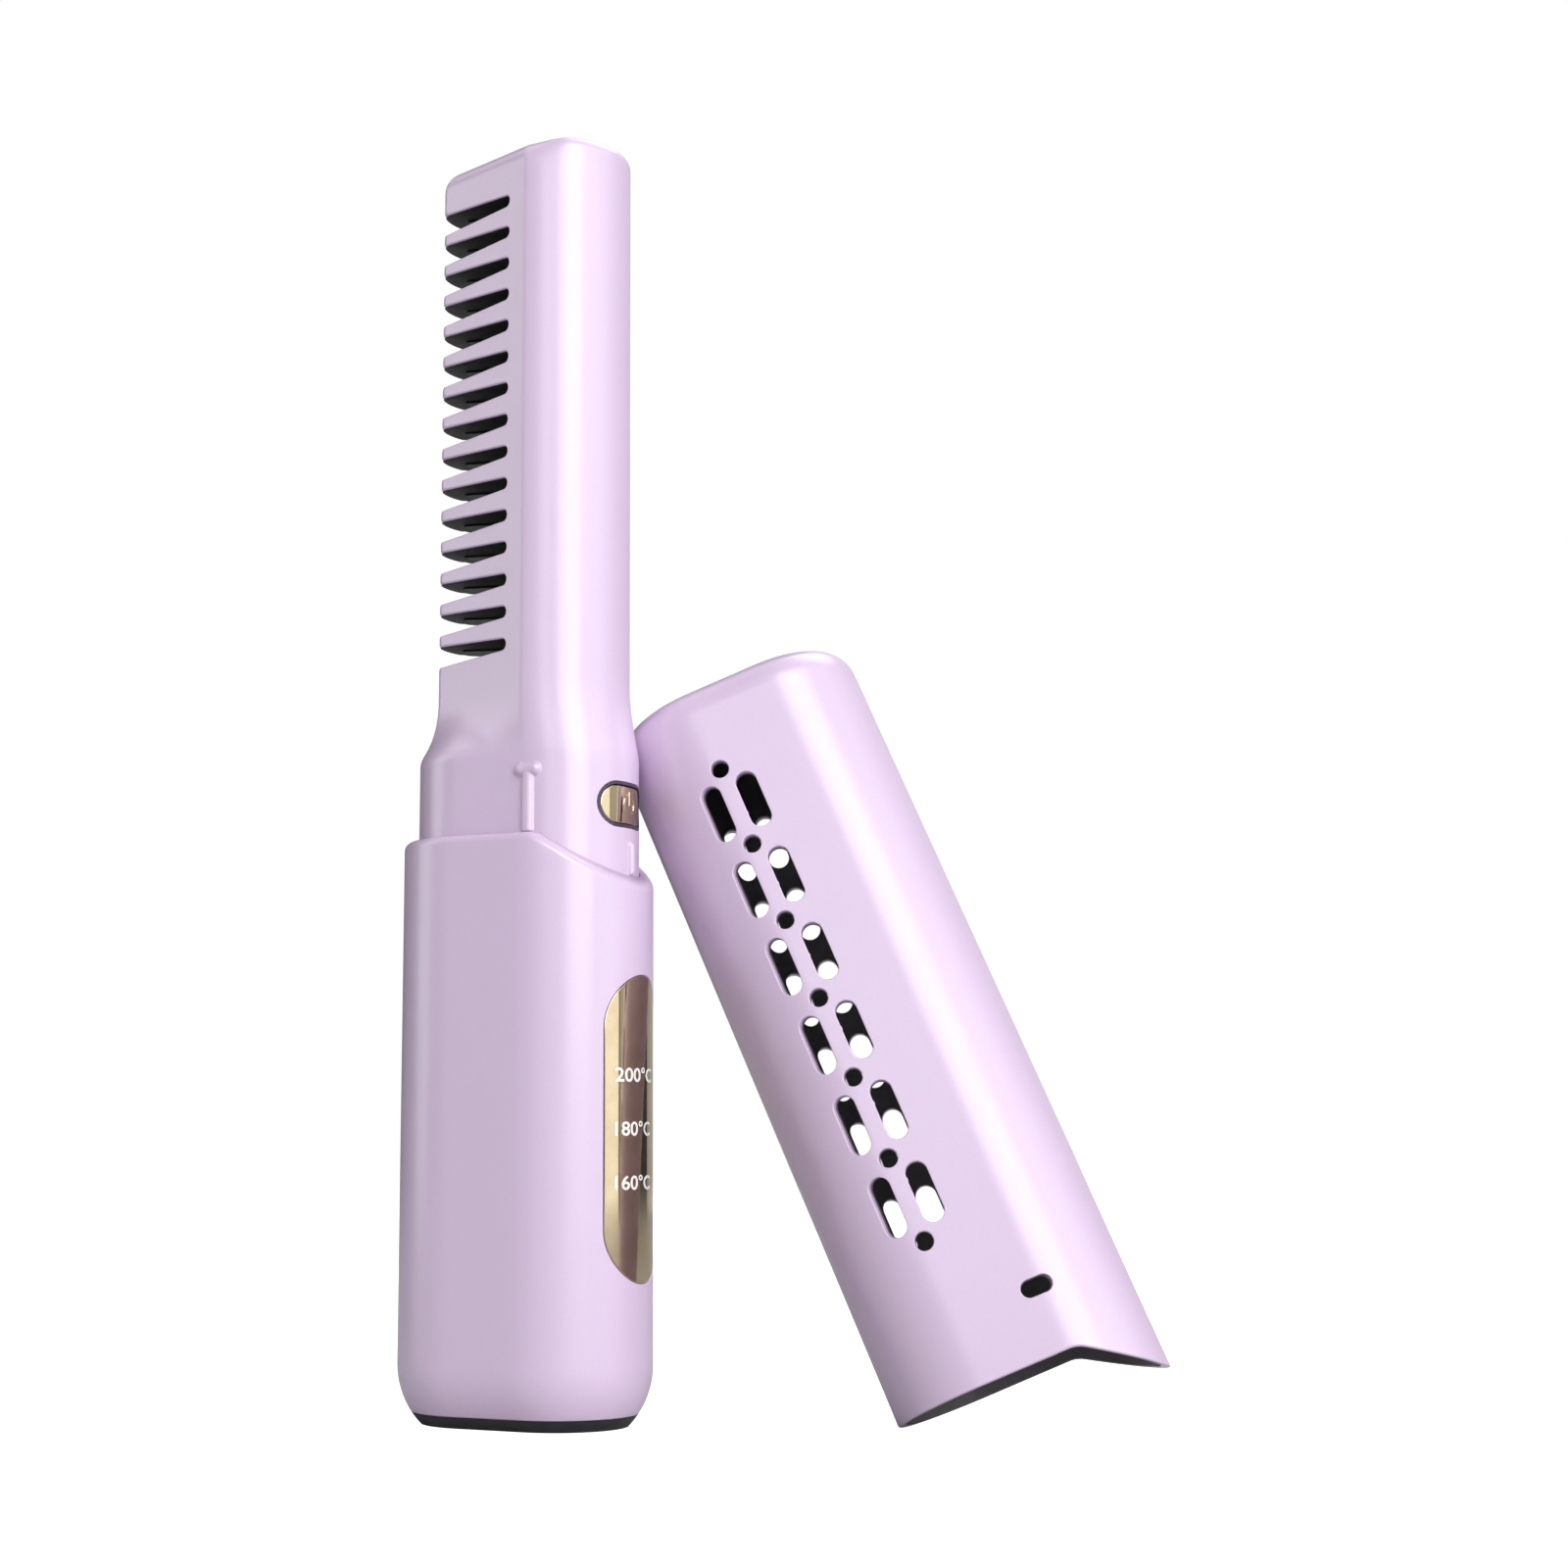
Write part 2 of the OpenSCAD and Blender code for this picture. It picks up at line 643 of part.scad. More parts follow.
// Screw bosses inside the collar, one to each lug of the chassis
module collar_bosses() {
    intersection() {
        translate([0, 0, spigot_z]) linear_extrude(collar_top - spigot_z) track(collar_r - collar_wall / 2);
        for (x = lug_x) translate([x, 0, lug_z]) rotate([90, 0, 0]) difference() {
            cylinder(d = lug_w, h = wide, center = true);
            cylinder(d = lug_w + past, h = lug_d + 2 * snug, center = true);
        }
    }
}

// Shank and head room of the screws that clamp the halves to the chassis, driven from the rear
module shell_screw_room(gap) {
    for (x = lug_x) translate([x, collar_r - screw_head_h - screw_sink, lug_z]) rotate([90, 0, 0]) {
        cylinder(d = screw_d + 2 * gap, h = 2 * collar_r - 4);
        translate([0, 0, -screw_head_h - past]) cylinder(d = screw_head_d + 8 * gap, h = screw_head_h + past);
    }
}

// One half of the comb: side is -1 for the front and 1 for the rear
module comb_half(side) {
    difference() {
        intersection() {
            union() {
                difference() {
                    union() {
                        comb_form();
                        spine_rib();
                        if (side < 0) latch_rib();
                    }
                    comb_hollow();
                }
                collar_bosses();
                grip_ribs();
            }
            translate([-wide, side > 0 ? 0 : -wide, 0]) cube([wide * 2, wide, comb_h + wide]);
        }
        tooth_slots();
        spine_pill(button_z, bezel_w + 2 * snug, bezel_h + 2 * snug);
        shell_screw_room(snug);
    }
}

module comb_shell_front() { color(lilac) comb_half(-1); }

module comb_shell_rear() { color(lilac) comb_half(1); }

module comb_guard() {
    color(black) difference() {
        translate([0, 0, neck_top]) linear_extrude(head_floor - neck_top) intersection() {
            head_section();
            for_both_flanks(head_wall / cos(flank_angle));
            translate([-wide, -wide / 2]) square([wide + guard_x, wide]);
        }
        tooth_slots();
        translate([plate_back - snug - tip_x - nose_bulge, -plate_t / 2 - snug, block_z - snug])
            cube([wide, plate_t + 2 * snug, block_l + 2 * snug]);
    }
}

module heating_comb() {
    color("#3a3a3d") difference() {
        union() {
            translate([plate_back - tip_x - nose_bulge, -plate_t / 2, block_z])
                cube([guard_x + tip_x + nose_bulge - plate_back + 1, plate_t, block_l]);
            translate([guard_x, -block_d / 2, block_z]) cube([block_w, block_d, block_l]);
        }
        tooth_slots(-plate_proud);
        translate([sleeve_x - sleeve_w / 2 - snug, -sleeve_d / 2 - snug, block_z - past])
            cube([sleeve_w + 2 * snug, sleeve_d + 2 * snug, block_l + 2 * past]);
    }
}

module heater_sleeve() {
    color("#c98a2b") translate([sleeve_x, 0, block_z]) linear_extrude(block_l) difference() {
        square([sleeve_w, sleeve_d], center = true);
        square([sleeve_w - 2 * sleeve_wall, sleeve_d - 2 * sleeve_wall], center = true);
    }
}

module electrodes() {
    color("#c0a060") for (side = [-1, 1])
        translate([sleeve_x - stack_w / 2, side * (stack_d - electrode_t) / 2 - electrode_t / 2,
            block_z - electrode_tail])
            cube([stack_w, electrode_t, block_l + electrode_tail - stack_end]);
}

module ptc_chips() {
    chip_d = stack_d - 2 * electrode_t;
    step = (block_l - 2 * stack_end) / chips;
    first_z = block_z + stack_end + (step - chip_l) / 2;
    color("#8a8a86") for (i = [0 : chips - 1])
        translate([sleeve_x - stack_w / 2, -chip_d / 2, first_z + i * step])
            cube([stack_w, chip_d, chip_l]);
}

module thermal_fuse() {
    color("#b8bcc0") translate([guard_x + block_w + fuse_d / 2 + snug, 0, sensor_z])
        cylinder(d = fuse_d, h = fuse_l);
}

module thermistor() {
    color("#30343a") translate([guard_x + block_w + bead_d / 2 + snug, 0, sensor_z + fuse_l + bead_gap])
        cylinder(d = bead_d, h = bead_l);
}

// Heater leads: up the back of the board and on to the electrodes
module heater_wires() {
    color("#b03028") for (side = [-1, 1])
        translate([wire_x, side * (stack_d + wire_d) / 2, wire_z])
            cylinder(d = wire_d, h = block_z - electrode_tail / 2 - wire_z);
}

// Round wire through a list of points, with a bead a little thicker than the wire at each bend
module wire(points, d) {
    for (i = [0 : len(points) - 2]) {
        run = points[i + 1] - points[i];
        translate(points[i]) rotate([0, acos(run.z / norm(run)), atan2(run.y, run.x)])
            cylinder(d = d, h = norm(run));
        if (i > 0) translate(points[i]) sphere(d = d + 2 * snug);
    }
}

// Sensor leads: beside fuse and thermistor, down the back of the block and on to the board's front
module sensor_wires() {
    back_x = guard_x + block_w + thin_wire_d / 2 + snug;
    board_lead_x = board_front + thin_wire_d / 2;
    color("#e8e4da") for (side = [-1, 1]) {
        lead_y = side * (fuse_d + thin_wire_d + 2 * snug) / 2;
        board_y = side * (switch_w + thin_wire_d + flange_w) / 2;
        wire([
            [back_x, lead_y, sensor_z + fuse_l + bead_gap + 1], [back_x, lead_y, block_z - 4],
            [board_lead_x, board_y, board_top + 1], [board_lead_x, board_y, button_z - 2]], thin_wire_d);
    }
}

module shell_screws() {
    color("silver") for (x = lug_x) translate([x, collar_r - screw_head_h - screw_sink, lug_z])
        rotate([90, 0, 0]) screw(2 * collar_r - 5);
}

module handle_shell() {
    color(lilac) difference() {
        intersection() {
            track_sweep() foot_profile(base_edge_h, rim_h);
            below_rim();
        }
        translate([0, 0, lip_top]) linear_extrude(rim_h) track(bore_r);
        translate([0, 0, -past]) linear_extrude(rim_h) track(bore_r - lip_w);
        difference() {
            spine_pill(window_z, window_w + 2 * snug, window_h + 2 * snug);
            linear_extrude(rim_h) track(outer_r - window_t - snug);
        }
        spine_pill(window_z, window_w - 2 * window_ledge, window_h - 2 * window_ledge);
    }
}

module display_window() {
    color(gold) intersection() {
        spine_pill(window_z, window_w, window_h);
        linear_extrude(rim_h) difference() {
            track(outer_r);
            track(outer_r - window_t);
        }
    }
}

module base_cover() {
    color(black) difference() {
        union() {
            track_sweep() foot_profile(0, base_edge_h);
            linear_extrude(lip_top) track(plug_r);
        }
        for (x = base_screw_x) translate([x, 0, -past]) {
            cylinder(d = screw_d + 2 * snug, h = lip_top + 2 * past);
            cylinder(d = screw_head_d + 8 * snug, h = base_screw_z + past);
        }
        translate([usb_x, 0, -past]) linear_extrude(lip_top + 2 * past)
            pill(usb_h + 2 * snug, usb_w + 2 * snug);
    }
}

module base_screws() {
    color("silver") for (x = base_screw_x) translate([x, 0, base_screw_z])
        screw(lip_top + floor_t - base_screw_z - screw_spare);
}

// Outline of the cradle round the cell, with arms that end against the board
module cradle_outline() {
    difference() {
        union() {
            translate([cell_x, 0]) circle(r = cradle_out);
            translate([cell_x, -cradle_out]) square([board_x - cell_x, 2 * cradle_out]);
        }
        translate([cell_x, 0]) circle(r = cradle_r);
        translate([cell_x, -cradle_r]) square([wide, 2 * cradle_r]);
    }
}

// Block on one arm of the cradle that takes a board screw at y, z
module board_boss(y, z) {
    arm_y = cradle_r + cradle_wall / 2;
    along = arm_y - abs(y) + boss_w / 2;
    translate([board_x - boss_l / 2, sign(y) * (arm_y - along / 2), z])
        cube([boss_l, along, boss_w], center = true);
}

module chassis() {
    color("#dcdcd8") difference() {
        union() {
            translate([0, 0, lip_top]) linear_extrude(floor_t) intersection() {
                track(bore_r - 2 * snug);
                translate([board_x - wide, -wide / 2]) square([wide, wide]);
            }
            translate([0, 0, floor_z]) linear_extrude(deck_z - floor_z) intersection() {
                cradle_outline();
                track(collar_in_r - snug);
            }
            translate([0, 0, deck_z]) linear_extrude(deck_t) intersection() {
                track(collar_in_r - 2 * snug);
                translate([board_x - wide, -wide / 2]) square([wide, wide]);
            }
            for (x = lug_x) translate([x - lug_w / 2, -lug_d / 2, deck_z])
                cube([lug_w, lug_d, deck_t + lug_h]);
            for (p = board_screw_at) board_boss(p.x, p.y);
        }
        for (x = base_screw_x) translate([x, 0, 0]) cylinder(d = screw_d + snug, h = floor_z - tab_t);
        for (p = board_screw_at) translate([board_x - boss_l + screw_spare, p.x, p.y]) rotate([0, 90, 0])
            cylinder(d = screw_d + snug, h = wide);
        for (x = lug_x) translate([x, 0, lug_z]) rotate([90, 0, 0])
            cylinder(d = screw_d + 2 * snug, h = wide, center = true);
    }
}

module battery_cell() {
    color("#3f7fb5") translate([cell_x, 0, cell_z]) {
        cylinder(d = cell_d, h = cell_l - 0.8);
        cylinder(d = cell_d / 3, h = cell_l);
    }
}

module battery_tabs() {
    color("silver") for (z = [cell_z - tab_t, cell_top])
        translate([cell_x - tab_w / 2, -tab_w / 2, z]) cube([board_x - cell_x + tab_w / 2, tab_w, tab_t]);
}

module control_board() {
    color("#1f5c3a") difference() {
        translate([board_x, -board_w / 2, board_z]) cube([board_t, board_w, board_top - board_z]);
        for (p = board_screw_at) translate([0, p.x, p.y]) rotate([0, 90, 0])
            cylinder(d = screw_d + 4 * snug, h = wide);
    }
}

module board_screws() {
    color("silver") for (p = board_screw_at) translate([board_front, p.x, p.y]) rotate([0, -90, 0])
        screw(board_t + boss_l - screw_spare - 0.2);
}

module mcu_chip() {
    color(black) translate([board_front, -mcu_w / 2, cell_top + 3]) cube([mcu_t, mcu_w, mcu_w]);
}

module power_mosfets() {
    color(black) for (side = [-1, 1])
        translate([board_front, side * fet_y - fet_w / 2, cell_top + mcu_w + 5]) cube([fet_t, fet_w, fet_l]);
}

module inductor() {
    color("#4a4a50") translate([board_front, -coil_w / 2, usb_z + usb_l + 2])
        cube([coil_t, coil_w, coil_w]);
}

module temperature_leds() {
    color("white") for (i = [-1 : 1])
        translate([board_front, -led_w / 2, window_z + i * led_pitch - led_l / 2])
            cube([led_h, led_w, led_l]);
}

module light_box() {
    box_h = 2 * led_pitch + chamber + 2 * light_box_edge;
    color("#f2f0ea") difference() {
        intersection() {
            translate([board_front, -light_box_w / 2, window_z - box_h / 2]) cube([wide, light_box_w, box_h]);
            linear_extrude(rim_h) track(outer_r - window_t - 3 * snug);
        }
        for (i = [-1 : 1])
            translate([board_front - past, -chamber / 2, window_z + i * led_pitch - chamber / 2])
                cube([wide, chamber, chamber]);
    }
}

module usb_c_shell() {
    color("silver") translate([usb_x, 0, usb_z]) linear_extrude(usb_l) difference() {
        pill(usb_h, usb_w);
        pill(usb_h - 2 * usb_sheet, usb_w - 2 * usb_sheet);
    }
}

module usb_c_tongue() {
    color(black) translate([usb_x, 0, usb_z]) {
        translate([0, 0, usb_l - usb_back]) linear_extrude(usb_back)
            pill(usb_h - 2 * usb_sheet, usb_w - 2 * usb_sheet);
        translate([-tongue_t / 2, -tongue_w / 2, usb_back / 2]) cube([tongue_t, tongue_w, usb_l - usb_back]);
    }
}

module tact_switch() {
    color("#2c2c2e") translate([board_front, 0, button_z]) rotate([0, 90, 0]) difference() {
        translate([-switch_w / 2, -switch_w / 2, 0]) cube([switch_w, switch_w, switch_h]);
        translate([0, 0, switch_h - plunger_in - button_travel - 0.3])
            cylinder(d = plunger_d + 4 * snug, h = switch_h);
    }
}

module switch_plunger() {
    color("#d8d4cc") translate([plunger_x - plunger_out - plunger_in, 0, button_z]) rotate([0, 90, 0])
        cylinder(d = plunger_d, h = plunger_out + plunger_in);
}

// Curved sheet at the spine between two depths below the collar's surface
module spine_layer(shallow, deep) {
    translate([0, 0, spigot_z]) linear_extrude(neck_top - spigot_z) difference() {
        track(collar_r - shallow);
        track(collar_r - deep);
    }
}

module button_bezel() {
    color("#2a2430") difference() {
        union() {
            intersection() {
                spine_pill(button_z, bezel_w, bezel_h);
                spine_layer(0, collar_wall + snug + flange_t);
            }
            intersection() {
                spine_pill(button_z, bezel_w + 2 * flange_w, bezel_h + 2 * flange_w);
                spine_layer(collar_wall + snug, collar_wall + snug + flange_t);
            }
        }
        spine_pill(button_z, bezel_w - 2 * bezel_ring, bezel_h - 2 * bezel_ring);
    }
}

module power_button() {
    under = collar_wall + snug + flange_t + button_gap;
    plate_w = bezel_w - 2 * bezel_ring - 2 * button_gap;
    plate_h = bezel_h - 2 * bezel_ring - 2 * button_gap;
    color(gold) {
        intersection() {
            spine_pill(button_z, plate_w, plate_h);
            spine_layer(0, under + flange_t);
        }
        intersection() {
            spine_pill(button_z, plate_w + 2 * flange_w, plate_h + 2 * flange_w);
            spine_layer(under, under + flange_t);
        }
        translate([plunger_x, 0, button_z]) rotate([0, 90, 0])
            cylinder(d = plunger_d, h = reach + collar_r - under - plunger_x);
    }
}

// Moves a piece from the cap's own frame to where the cap stands and leans
module place_cap() {
    translate([cap_away * cos(cap_bearing), cap_away * sin(cap_bearing), cap_lift])
        rotate([cap_tip, -cap_lean, cap_turn]) children();
}

// Solid of the cap's outline, drawn in by inset, with a rounded closed top
module cap_form(inset) {
    r = outer_r - inset;
    top = cap_len - inset;
    edge = cap_round - inset;
    low = rim_low - rim_h - past;
    track_sweep() {
        translate([0, low]) square([r, top - edge - low]);
        translate([0, low]) square([r - edge, top - low]);
        translate([r - edge, top - edge]) circle(r = edge);
    }
}

// Vent holes and slots through both faces of the cap, and the latch slot in the front
module cap_vents() {
    for (i = [0 : hole_n - 1]) translate([vent_x, 0, hole_first - i * hole_pitch]) {
        rotate([90, 0, 0]) cylinder(d = hole_d, h = wide, center = true);
        if (i < hole_n - 1) for (side = [-1, 1]) translate([side * vent_gap / 2, 0, -hole_pitch / 2])
            rotate([90, 0, 0]) linear_extrude(wide, center = true) pill(vent_w, vent_l);
    }
    translate([latch_x, 0, latch_h]) rotate([90, 0, 0]) linear_extrude(wide / 2)
        rotate(90) pill(latch_bar_d + 2 * latch_gap, latch_bar_l + 2 * latch_gap);
}

module cap_shell() {
    color(lilac) place_cap() difference() {
        cap_form(0);
        cap_form(cap_wall);
        cap_vents();
        below_rim(rim_h);
    }
}

// The lining stops short of the ribs on the collar, which pass it in two grooves
module cap_liner() {
    groove_w = latch_stem_w + 2 * latch_gap;
    low = rim_low - rim_h - past;
    color(black) place_cap() difference() {
        cap_form(cap_wall);
        cap_form(cap_wall + liner_wall);
        cap_vents();
        below_rim(rim_h);
        translate([latch_x - groove_w / 2, -wide / 2, low]) cube([groove_w, wide / 2, latch_h - low]);
        translate([0, -groove_w / 2, low]) cube([wide, groove_w, spine_rib_h + 2]);
    }
}

handle_shell();
base_cover();
base_screws();
chassis();
battery_cell();
battery_tabs();
control_board();
board_screws();
mcu_chip();
power_mosfets();
inductor();
temperature_leds();
light_box();
display_window();
usb_c_shell();
usb_c_tongue();
tact_switch();
switch_plunger();
button_bezel();
power_button();
comb_shell_front();
comb_shell_rear();
shell_screws();
comb_guard();
heating_comb();
heater_sleeve();
electrodes();
ptc_chips();
thermal_fuse();
thermistor();
heater_wires();
sensor_wires();
cap_shell();
cap_liner();
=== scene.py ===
# %% [markdown]
# # A cordless straightening comb and its travel cap
# The construction is fixed already: every piece stands in the frame at its real size. This
# lesson gives the pieces that show their finished surfaces: thin moulded shells with real wall
# thickness, rounded edges, vents and slots, and a finish for every material.
#
# All shapes are worked out in millimetres and turned to metres when a mesh is made.

# %% Load the frame
import math

import bpy
import numpy as np
from mathutils.geometry import delaunay_2d_cdt
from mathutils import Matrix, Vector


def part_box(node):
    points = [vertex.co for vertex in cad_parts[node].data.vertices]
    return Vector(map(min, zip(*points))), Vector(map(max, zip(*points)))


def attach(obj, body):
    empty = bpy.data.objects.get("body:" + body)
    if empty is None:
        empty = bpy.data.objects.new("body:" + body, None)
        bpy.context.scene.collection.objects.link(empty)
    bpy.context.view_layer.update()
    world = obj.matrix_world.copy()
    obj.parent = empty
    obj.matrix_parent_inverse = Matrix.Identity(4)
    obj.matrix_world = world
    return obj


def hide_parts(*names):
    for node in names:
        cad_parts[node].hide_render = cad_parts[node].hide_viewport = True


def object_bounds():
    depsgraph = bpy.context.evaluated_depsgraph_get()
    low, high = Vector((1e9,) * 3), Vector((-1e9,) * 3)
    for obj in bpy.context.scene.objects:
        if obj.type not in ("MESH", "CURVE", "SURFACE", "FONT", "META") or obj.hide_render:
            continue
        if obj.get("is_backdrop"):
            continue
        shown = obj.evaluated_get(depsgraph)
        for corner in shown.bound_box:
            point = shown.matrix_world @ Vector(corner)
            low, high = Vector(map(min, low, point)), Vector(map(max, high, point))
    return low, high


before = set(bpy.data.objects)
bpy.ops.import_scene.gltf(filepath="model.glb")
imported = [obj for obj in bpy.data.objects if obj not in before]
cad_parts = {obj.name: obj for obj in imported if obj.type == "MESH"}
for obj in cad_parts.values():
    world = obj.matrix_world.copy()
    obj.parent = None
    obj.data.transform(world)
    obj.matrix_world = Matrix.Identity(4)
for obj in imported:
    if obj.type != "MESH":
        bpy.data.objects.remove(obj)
cad_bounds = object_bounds()
print("pieces in the frame:", len(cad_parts))

# %% [markdown]
# ## The camera
# The photograph looks slightly upwards at the comb, from its front and a little from its spine.
# The camera could be aimed by an empty, but plain angles are easier to read. The frame of the
# photograph sits off the lens's axis, so a small shift moves the picture without tilting it.

# %% Place the camera
CAMERA_AT = (0.20417, -0.36443, 0.04208)
CAMERA_PITCH, CAMERA_TURN = 98.983, 26.494
CAMERA_LENS, CAMERA_SHIFT = 61.35, (0.0810, -0.0403)
SENSOR_WIDTH = 36
NEAREST = 0.01

scene = bpy.context.scene
camera_data = bpy.data.cameras.new("camera")
camera_data.lens = CAMERA_LENS
camera_data.sensor_width = SENSOR_WIDTH
camera_data.shift_x, camera_data.shift_y = CAMERA_SHIFT
camera_data.clip_start = NEAREST
camera = bpy.data.objects.new("camera", camera_data)
camera.location = CAMERA_AT
camera.rotation_euler = (math.radians(CAMERA_PITCH), 0, math.radians(CAMERA_TURN))
scene.collection.objects.link(camera)
scene.camera = camera
print("camera at", CAMERA_AT, "m, lens", CAMERA_LENS, "mm")

# %% [markdown]
# ## Sizes
# Handle, collar and cap share one outline: two half circles and a straight middle between them.
# Its sizes are read from the frame, so the surfaces fit whatever the frame says.

# %% Read the driving sizes from the frame
MM = 0.001


def box_mm(name):
    """Lowest and highest corner of a piece of the frame, in millimetres."""
    low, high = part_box(name)
    return np.array(low) / MM, np.array(high) / MM


handle_low, handle_high = box_mm("handle_shell")
rear_low, rear_high = box_mm("comb_shell_rear")
window_low, window_high = box_mm("display_window")
bezel_low, bezel_high = box_mm("button_bezel")

HANDLE_R = (handle_high[1] - handle_low[1]) / 2
REACH = (handle_high[0] - handle_low[0]) / 2 - HANDLE_R
RIM_Z = handle_high[2]
BASE_EDGE = handle_low[2]
COLLAR_R = rear_high[1]
SPIGOT_Z = rear_low[2]
COMB_TOP = rear_high[2]
BUTTON_Z = (bezel_low[2] + bezel_high[2]) / 2
WINDOW_Z = (window_low[2] + window_high[2]) / 2
WINDOW_W = window_high[1] - window_low[1]
WINDOW_H = window_high[2] - window_low[2]
STRAIGHT = 2 * REACH
QUARTER = HANDLE_R * math.pi / 2
AROUND = 4 * QUARTER + 2 * STRAIGHT
print(f"outline: radius {HANDLE_R:.2f}, straight {STRAIGHT:.2f}, once round {AROUND:.1f} mm")

# %% [markdown]
# ## Thin shells with openings
# Every casing here is a thin sheet bent round an outline and pierced by holes and slots. It
# could be cut out with booleans, but those leave ragged shading round each hole. Instead the
# sheet is drawn flat, like a paper pattern with coordinates u (round the outline) and v (up),
# filled with triangles between its edges, and then bent by a formula that also knows the depth
# below the outer surface. Round each edge a few rings roll the surface over into the wall, and
# the shading normals come from the formula itself, so the gloss runs smoothly over the facets.


# %% Helpers for flat patterns
SAME = 1e-6  # mm: two points nearer than this are one point
PAIRS_AT_ONCE = 4000000


def smooth(x):
    """0 below 0, 1 above 1 and the curve 3x2 - 2x3 between."""
    x = np.clip(x, 0, 1)
    return x * x * (3 - 2 * x)


def run(points, step):
    """Even points along a broken line, at most step apart, without its last point."""
    points = np.asarray(points, float)
    length = np.concatenate([[0], np.cumsum(np.hypot(*np.diff(points, axis=0).T))])
    at = np.linspace(0, length[-1], max(2, int(math.ceil(length[-1] / step)) + 1))[:-1]
    return np.stack([np.interp(at, length, points[:, k]) for k in (0, 1)], 1)


def stretches(*parts):
    """Values over several stretches, each given by its start, its end and its step."""
    return np.concatenate([np.arange(*part) for part in parts])


def grid(us, vs):
    """Every pair of a value of us with a value of vs."""
    return np.stack(np.meshgrid(us, vs), -1).reshape(-1, 2)


def arc(centre, radius, start, end, n):
    """Points on a circle from one angle to another, in degrees."""
    a = np.radians(np.linspace(start, end, n))
    return np.stack([centre[0] + radius * np.cos(a), centre[1] + radius * np.sin(a)], 1)


def pill(width, height, step=0.5):
    """Closed outline of a slot with round ends about the origin, anticlockwise."""
    r = min(width, height) / 2
    dx, dy = width / 2 - r, height / 2 - r
    n = max(7, int(math.pi * r / step))
    ends = [arc((dx, dy), r, 0, 90, n), arc((-dx, dy), r, 90, 180, n),
            arc((-dx, -dy), r, 180, 270, n), arc((dx, -dy), r, 270, 360, n)]
    line = np.vstack(ends + [ends[0][:1]])
    keep = np.concatenate([[True], np.hypot(*np.diff(line, axis=0).T) > SAME])
    return run(line[keep], step)


def in_chunks(points, outline):
    """The points in parts small enough to be paired with every point of an outline at once."""
    return np.array_split(points, max(1, len(points) * len(outline) // PAIRS_AT_ONCE))


def inside(points, outline):
    """True where a ray from the point towards +u crosses the closed outline an odd number of
    times."""
    a, b = outline, np.roll(outline, -1, 0)
    with np.errstate(divide="ignore", invalid="ignore"):
        slope = (b[:, 0] - a[:, 0]) / (b[:, 1] - a[:, 1])
    found = []
    for part in in_chunks(points, outline):
        u, v = part[:, :1], part[:, 1:]
        crossed = (a[:, 1] > v) != (b[:, 1] > v)
        with np.errstate(invalid="ignore"):
            found.append((crossed & (u < a[:, 0] + (v - a[:, 1]) * slope)).sum(1) % 2 == 1)
    return np.concatenate(found)


def left_of(outline, wrap):
    """Unit vectors to the left of an outline's direction; wrap is the length it closes over."""
    before, after = np.roll(outline, 1, 0), np.roll(outline, -1, 0)
    along = after - before
    if wrap:
        along[:, 0] = (along[:, 0] + wrap / 2) % wrap - wrap / 2
    along /= np.linalg.norm(along, axis=1, keepdims=True)
    return np.stack([-along[:, 1], along[:, 0]], 1)


print("a slot of 3 by 9 mm is drawn with", len(pill(3.0, 9.0)), "points")

# %% [markdown]
# The flat pattern is filled by a constrained Delaunay triangulation: it keeps every outline as
# an edge and joins the points between them by the fattest triangles. Points outside the pattern
# or nearly on an outline are dropped first, because they would make thin slivers.
#
# Where the pattern closes round the object, the points on its seam are drawn twice, at u = 0
# and one turn on, and the second set is then replaced by the first.


# %% Fill a flat pattern
DRAWN_ALIKE = 1e-7


def fill_pattern(insets, loops, borders, fill, wrap):
    """Triangles over the fill points between the outlines of a pattern. The first outlines are
    its borders and the others are holes. A fill point stays if it is more than half a step of an
    outline away from it. Returns all points and the triangles between them."""
    if wrap:
        low, top = insets[0], insets[1]
        domain = np.vstack([low, low[:1] + [wrap, 0], top[:1] + [wrap, 0], top[1:], top[:1]])
    else:
        domain = insets[0]
    fill = fill[inside(fill + [SAME, 0], domain)]
    for hole in insets[borders:]:
        fill = fill[~inside(fill, hole)]
    for outline in insets:
        gap = 0.5 * np.median(np.hypot(*np.diff(outline, axis=0).T))
        near = [np.hypot(part[:, :1] - outline[:, 0], part[:, 1:] - outline[:, 1]).min(1) < gap
                for part in in_chunks(fill, outline)]
        fill = fill[~np.concatenate(near)]
    flat = np.vstack(insets + [fill])
    drawn, twin, copy_of = flat, np.arange(len(flat)), {}
    if wrap:
        seam = np.flatnonzero(np.abs(flat[:, 0]) < SAME)
        twin = np.concatenate([twin, seam])
        copy_of = {int(k): len(flat) + i for i, k in enumerate(seam)}
        drawn = np.vstack([flat, flat[seam] + [wrap, 0]])
    edges, start = [], 0
    for outline, loop in zip(insets, loops):
        index = np.arange(start, start + len(outline))
        pairs = np.stack([index, np.roll(index, -1)], 1)
        if loop.get("wrap", 0) > 0:
            pairs[-1, 1] = copy_of[start]
        if loop.get("wrap", 0) < 0:
            pairs[0, 0] = copy_of[start]
        edges += pairs.tolist()
        start += len(outline)
    found = delaunay_2d_cdt(drawn.tolist(), edges, [], 0, DRAWN_ALIKE)
    source = np.array([group[0] if group else -1 for group in found[3]])
    triangles = source[np.array(found[2])]
    middle = drawn[triangles].mean(1)
    keep = inside(middle, domain)
    for hole in insets[borders:]:
        keep &= ~inside(middle, hole)
    return flat, twin[triangles[keep]]


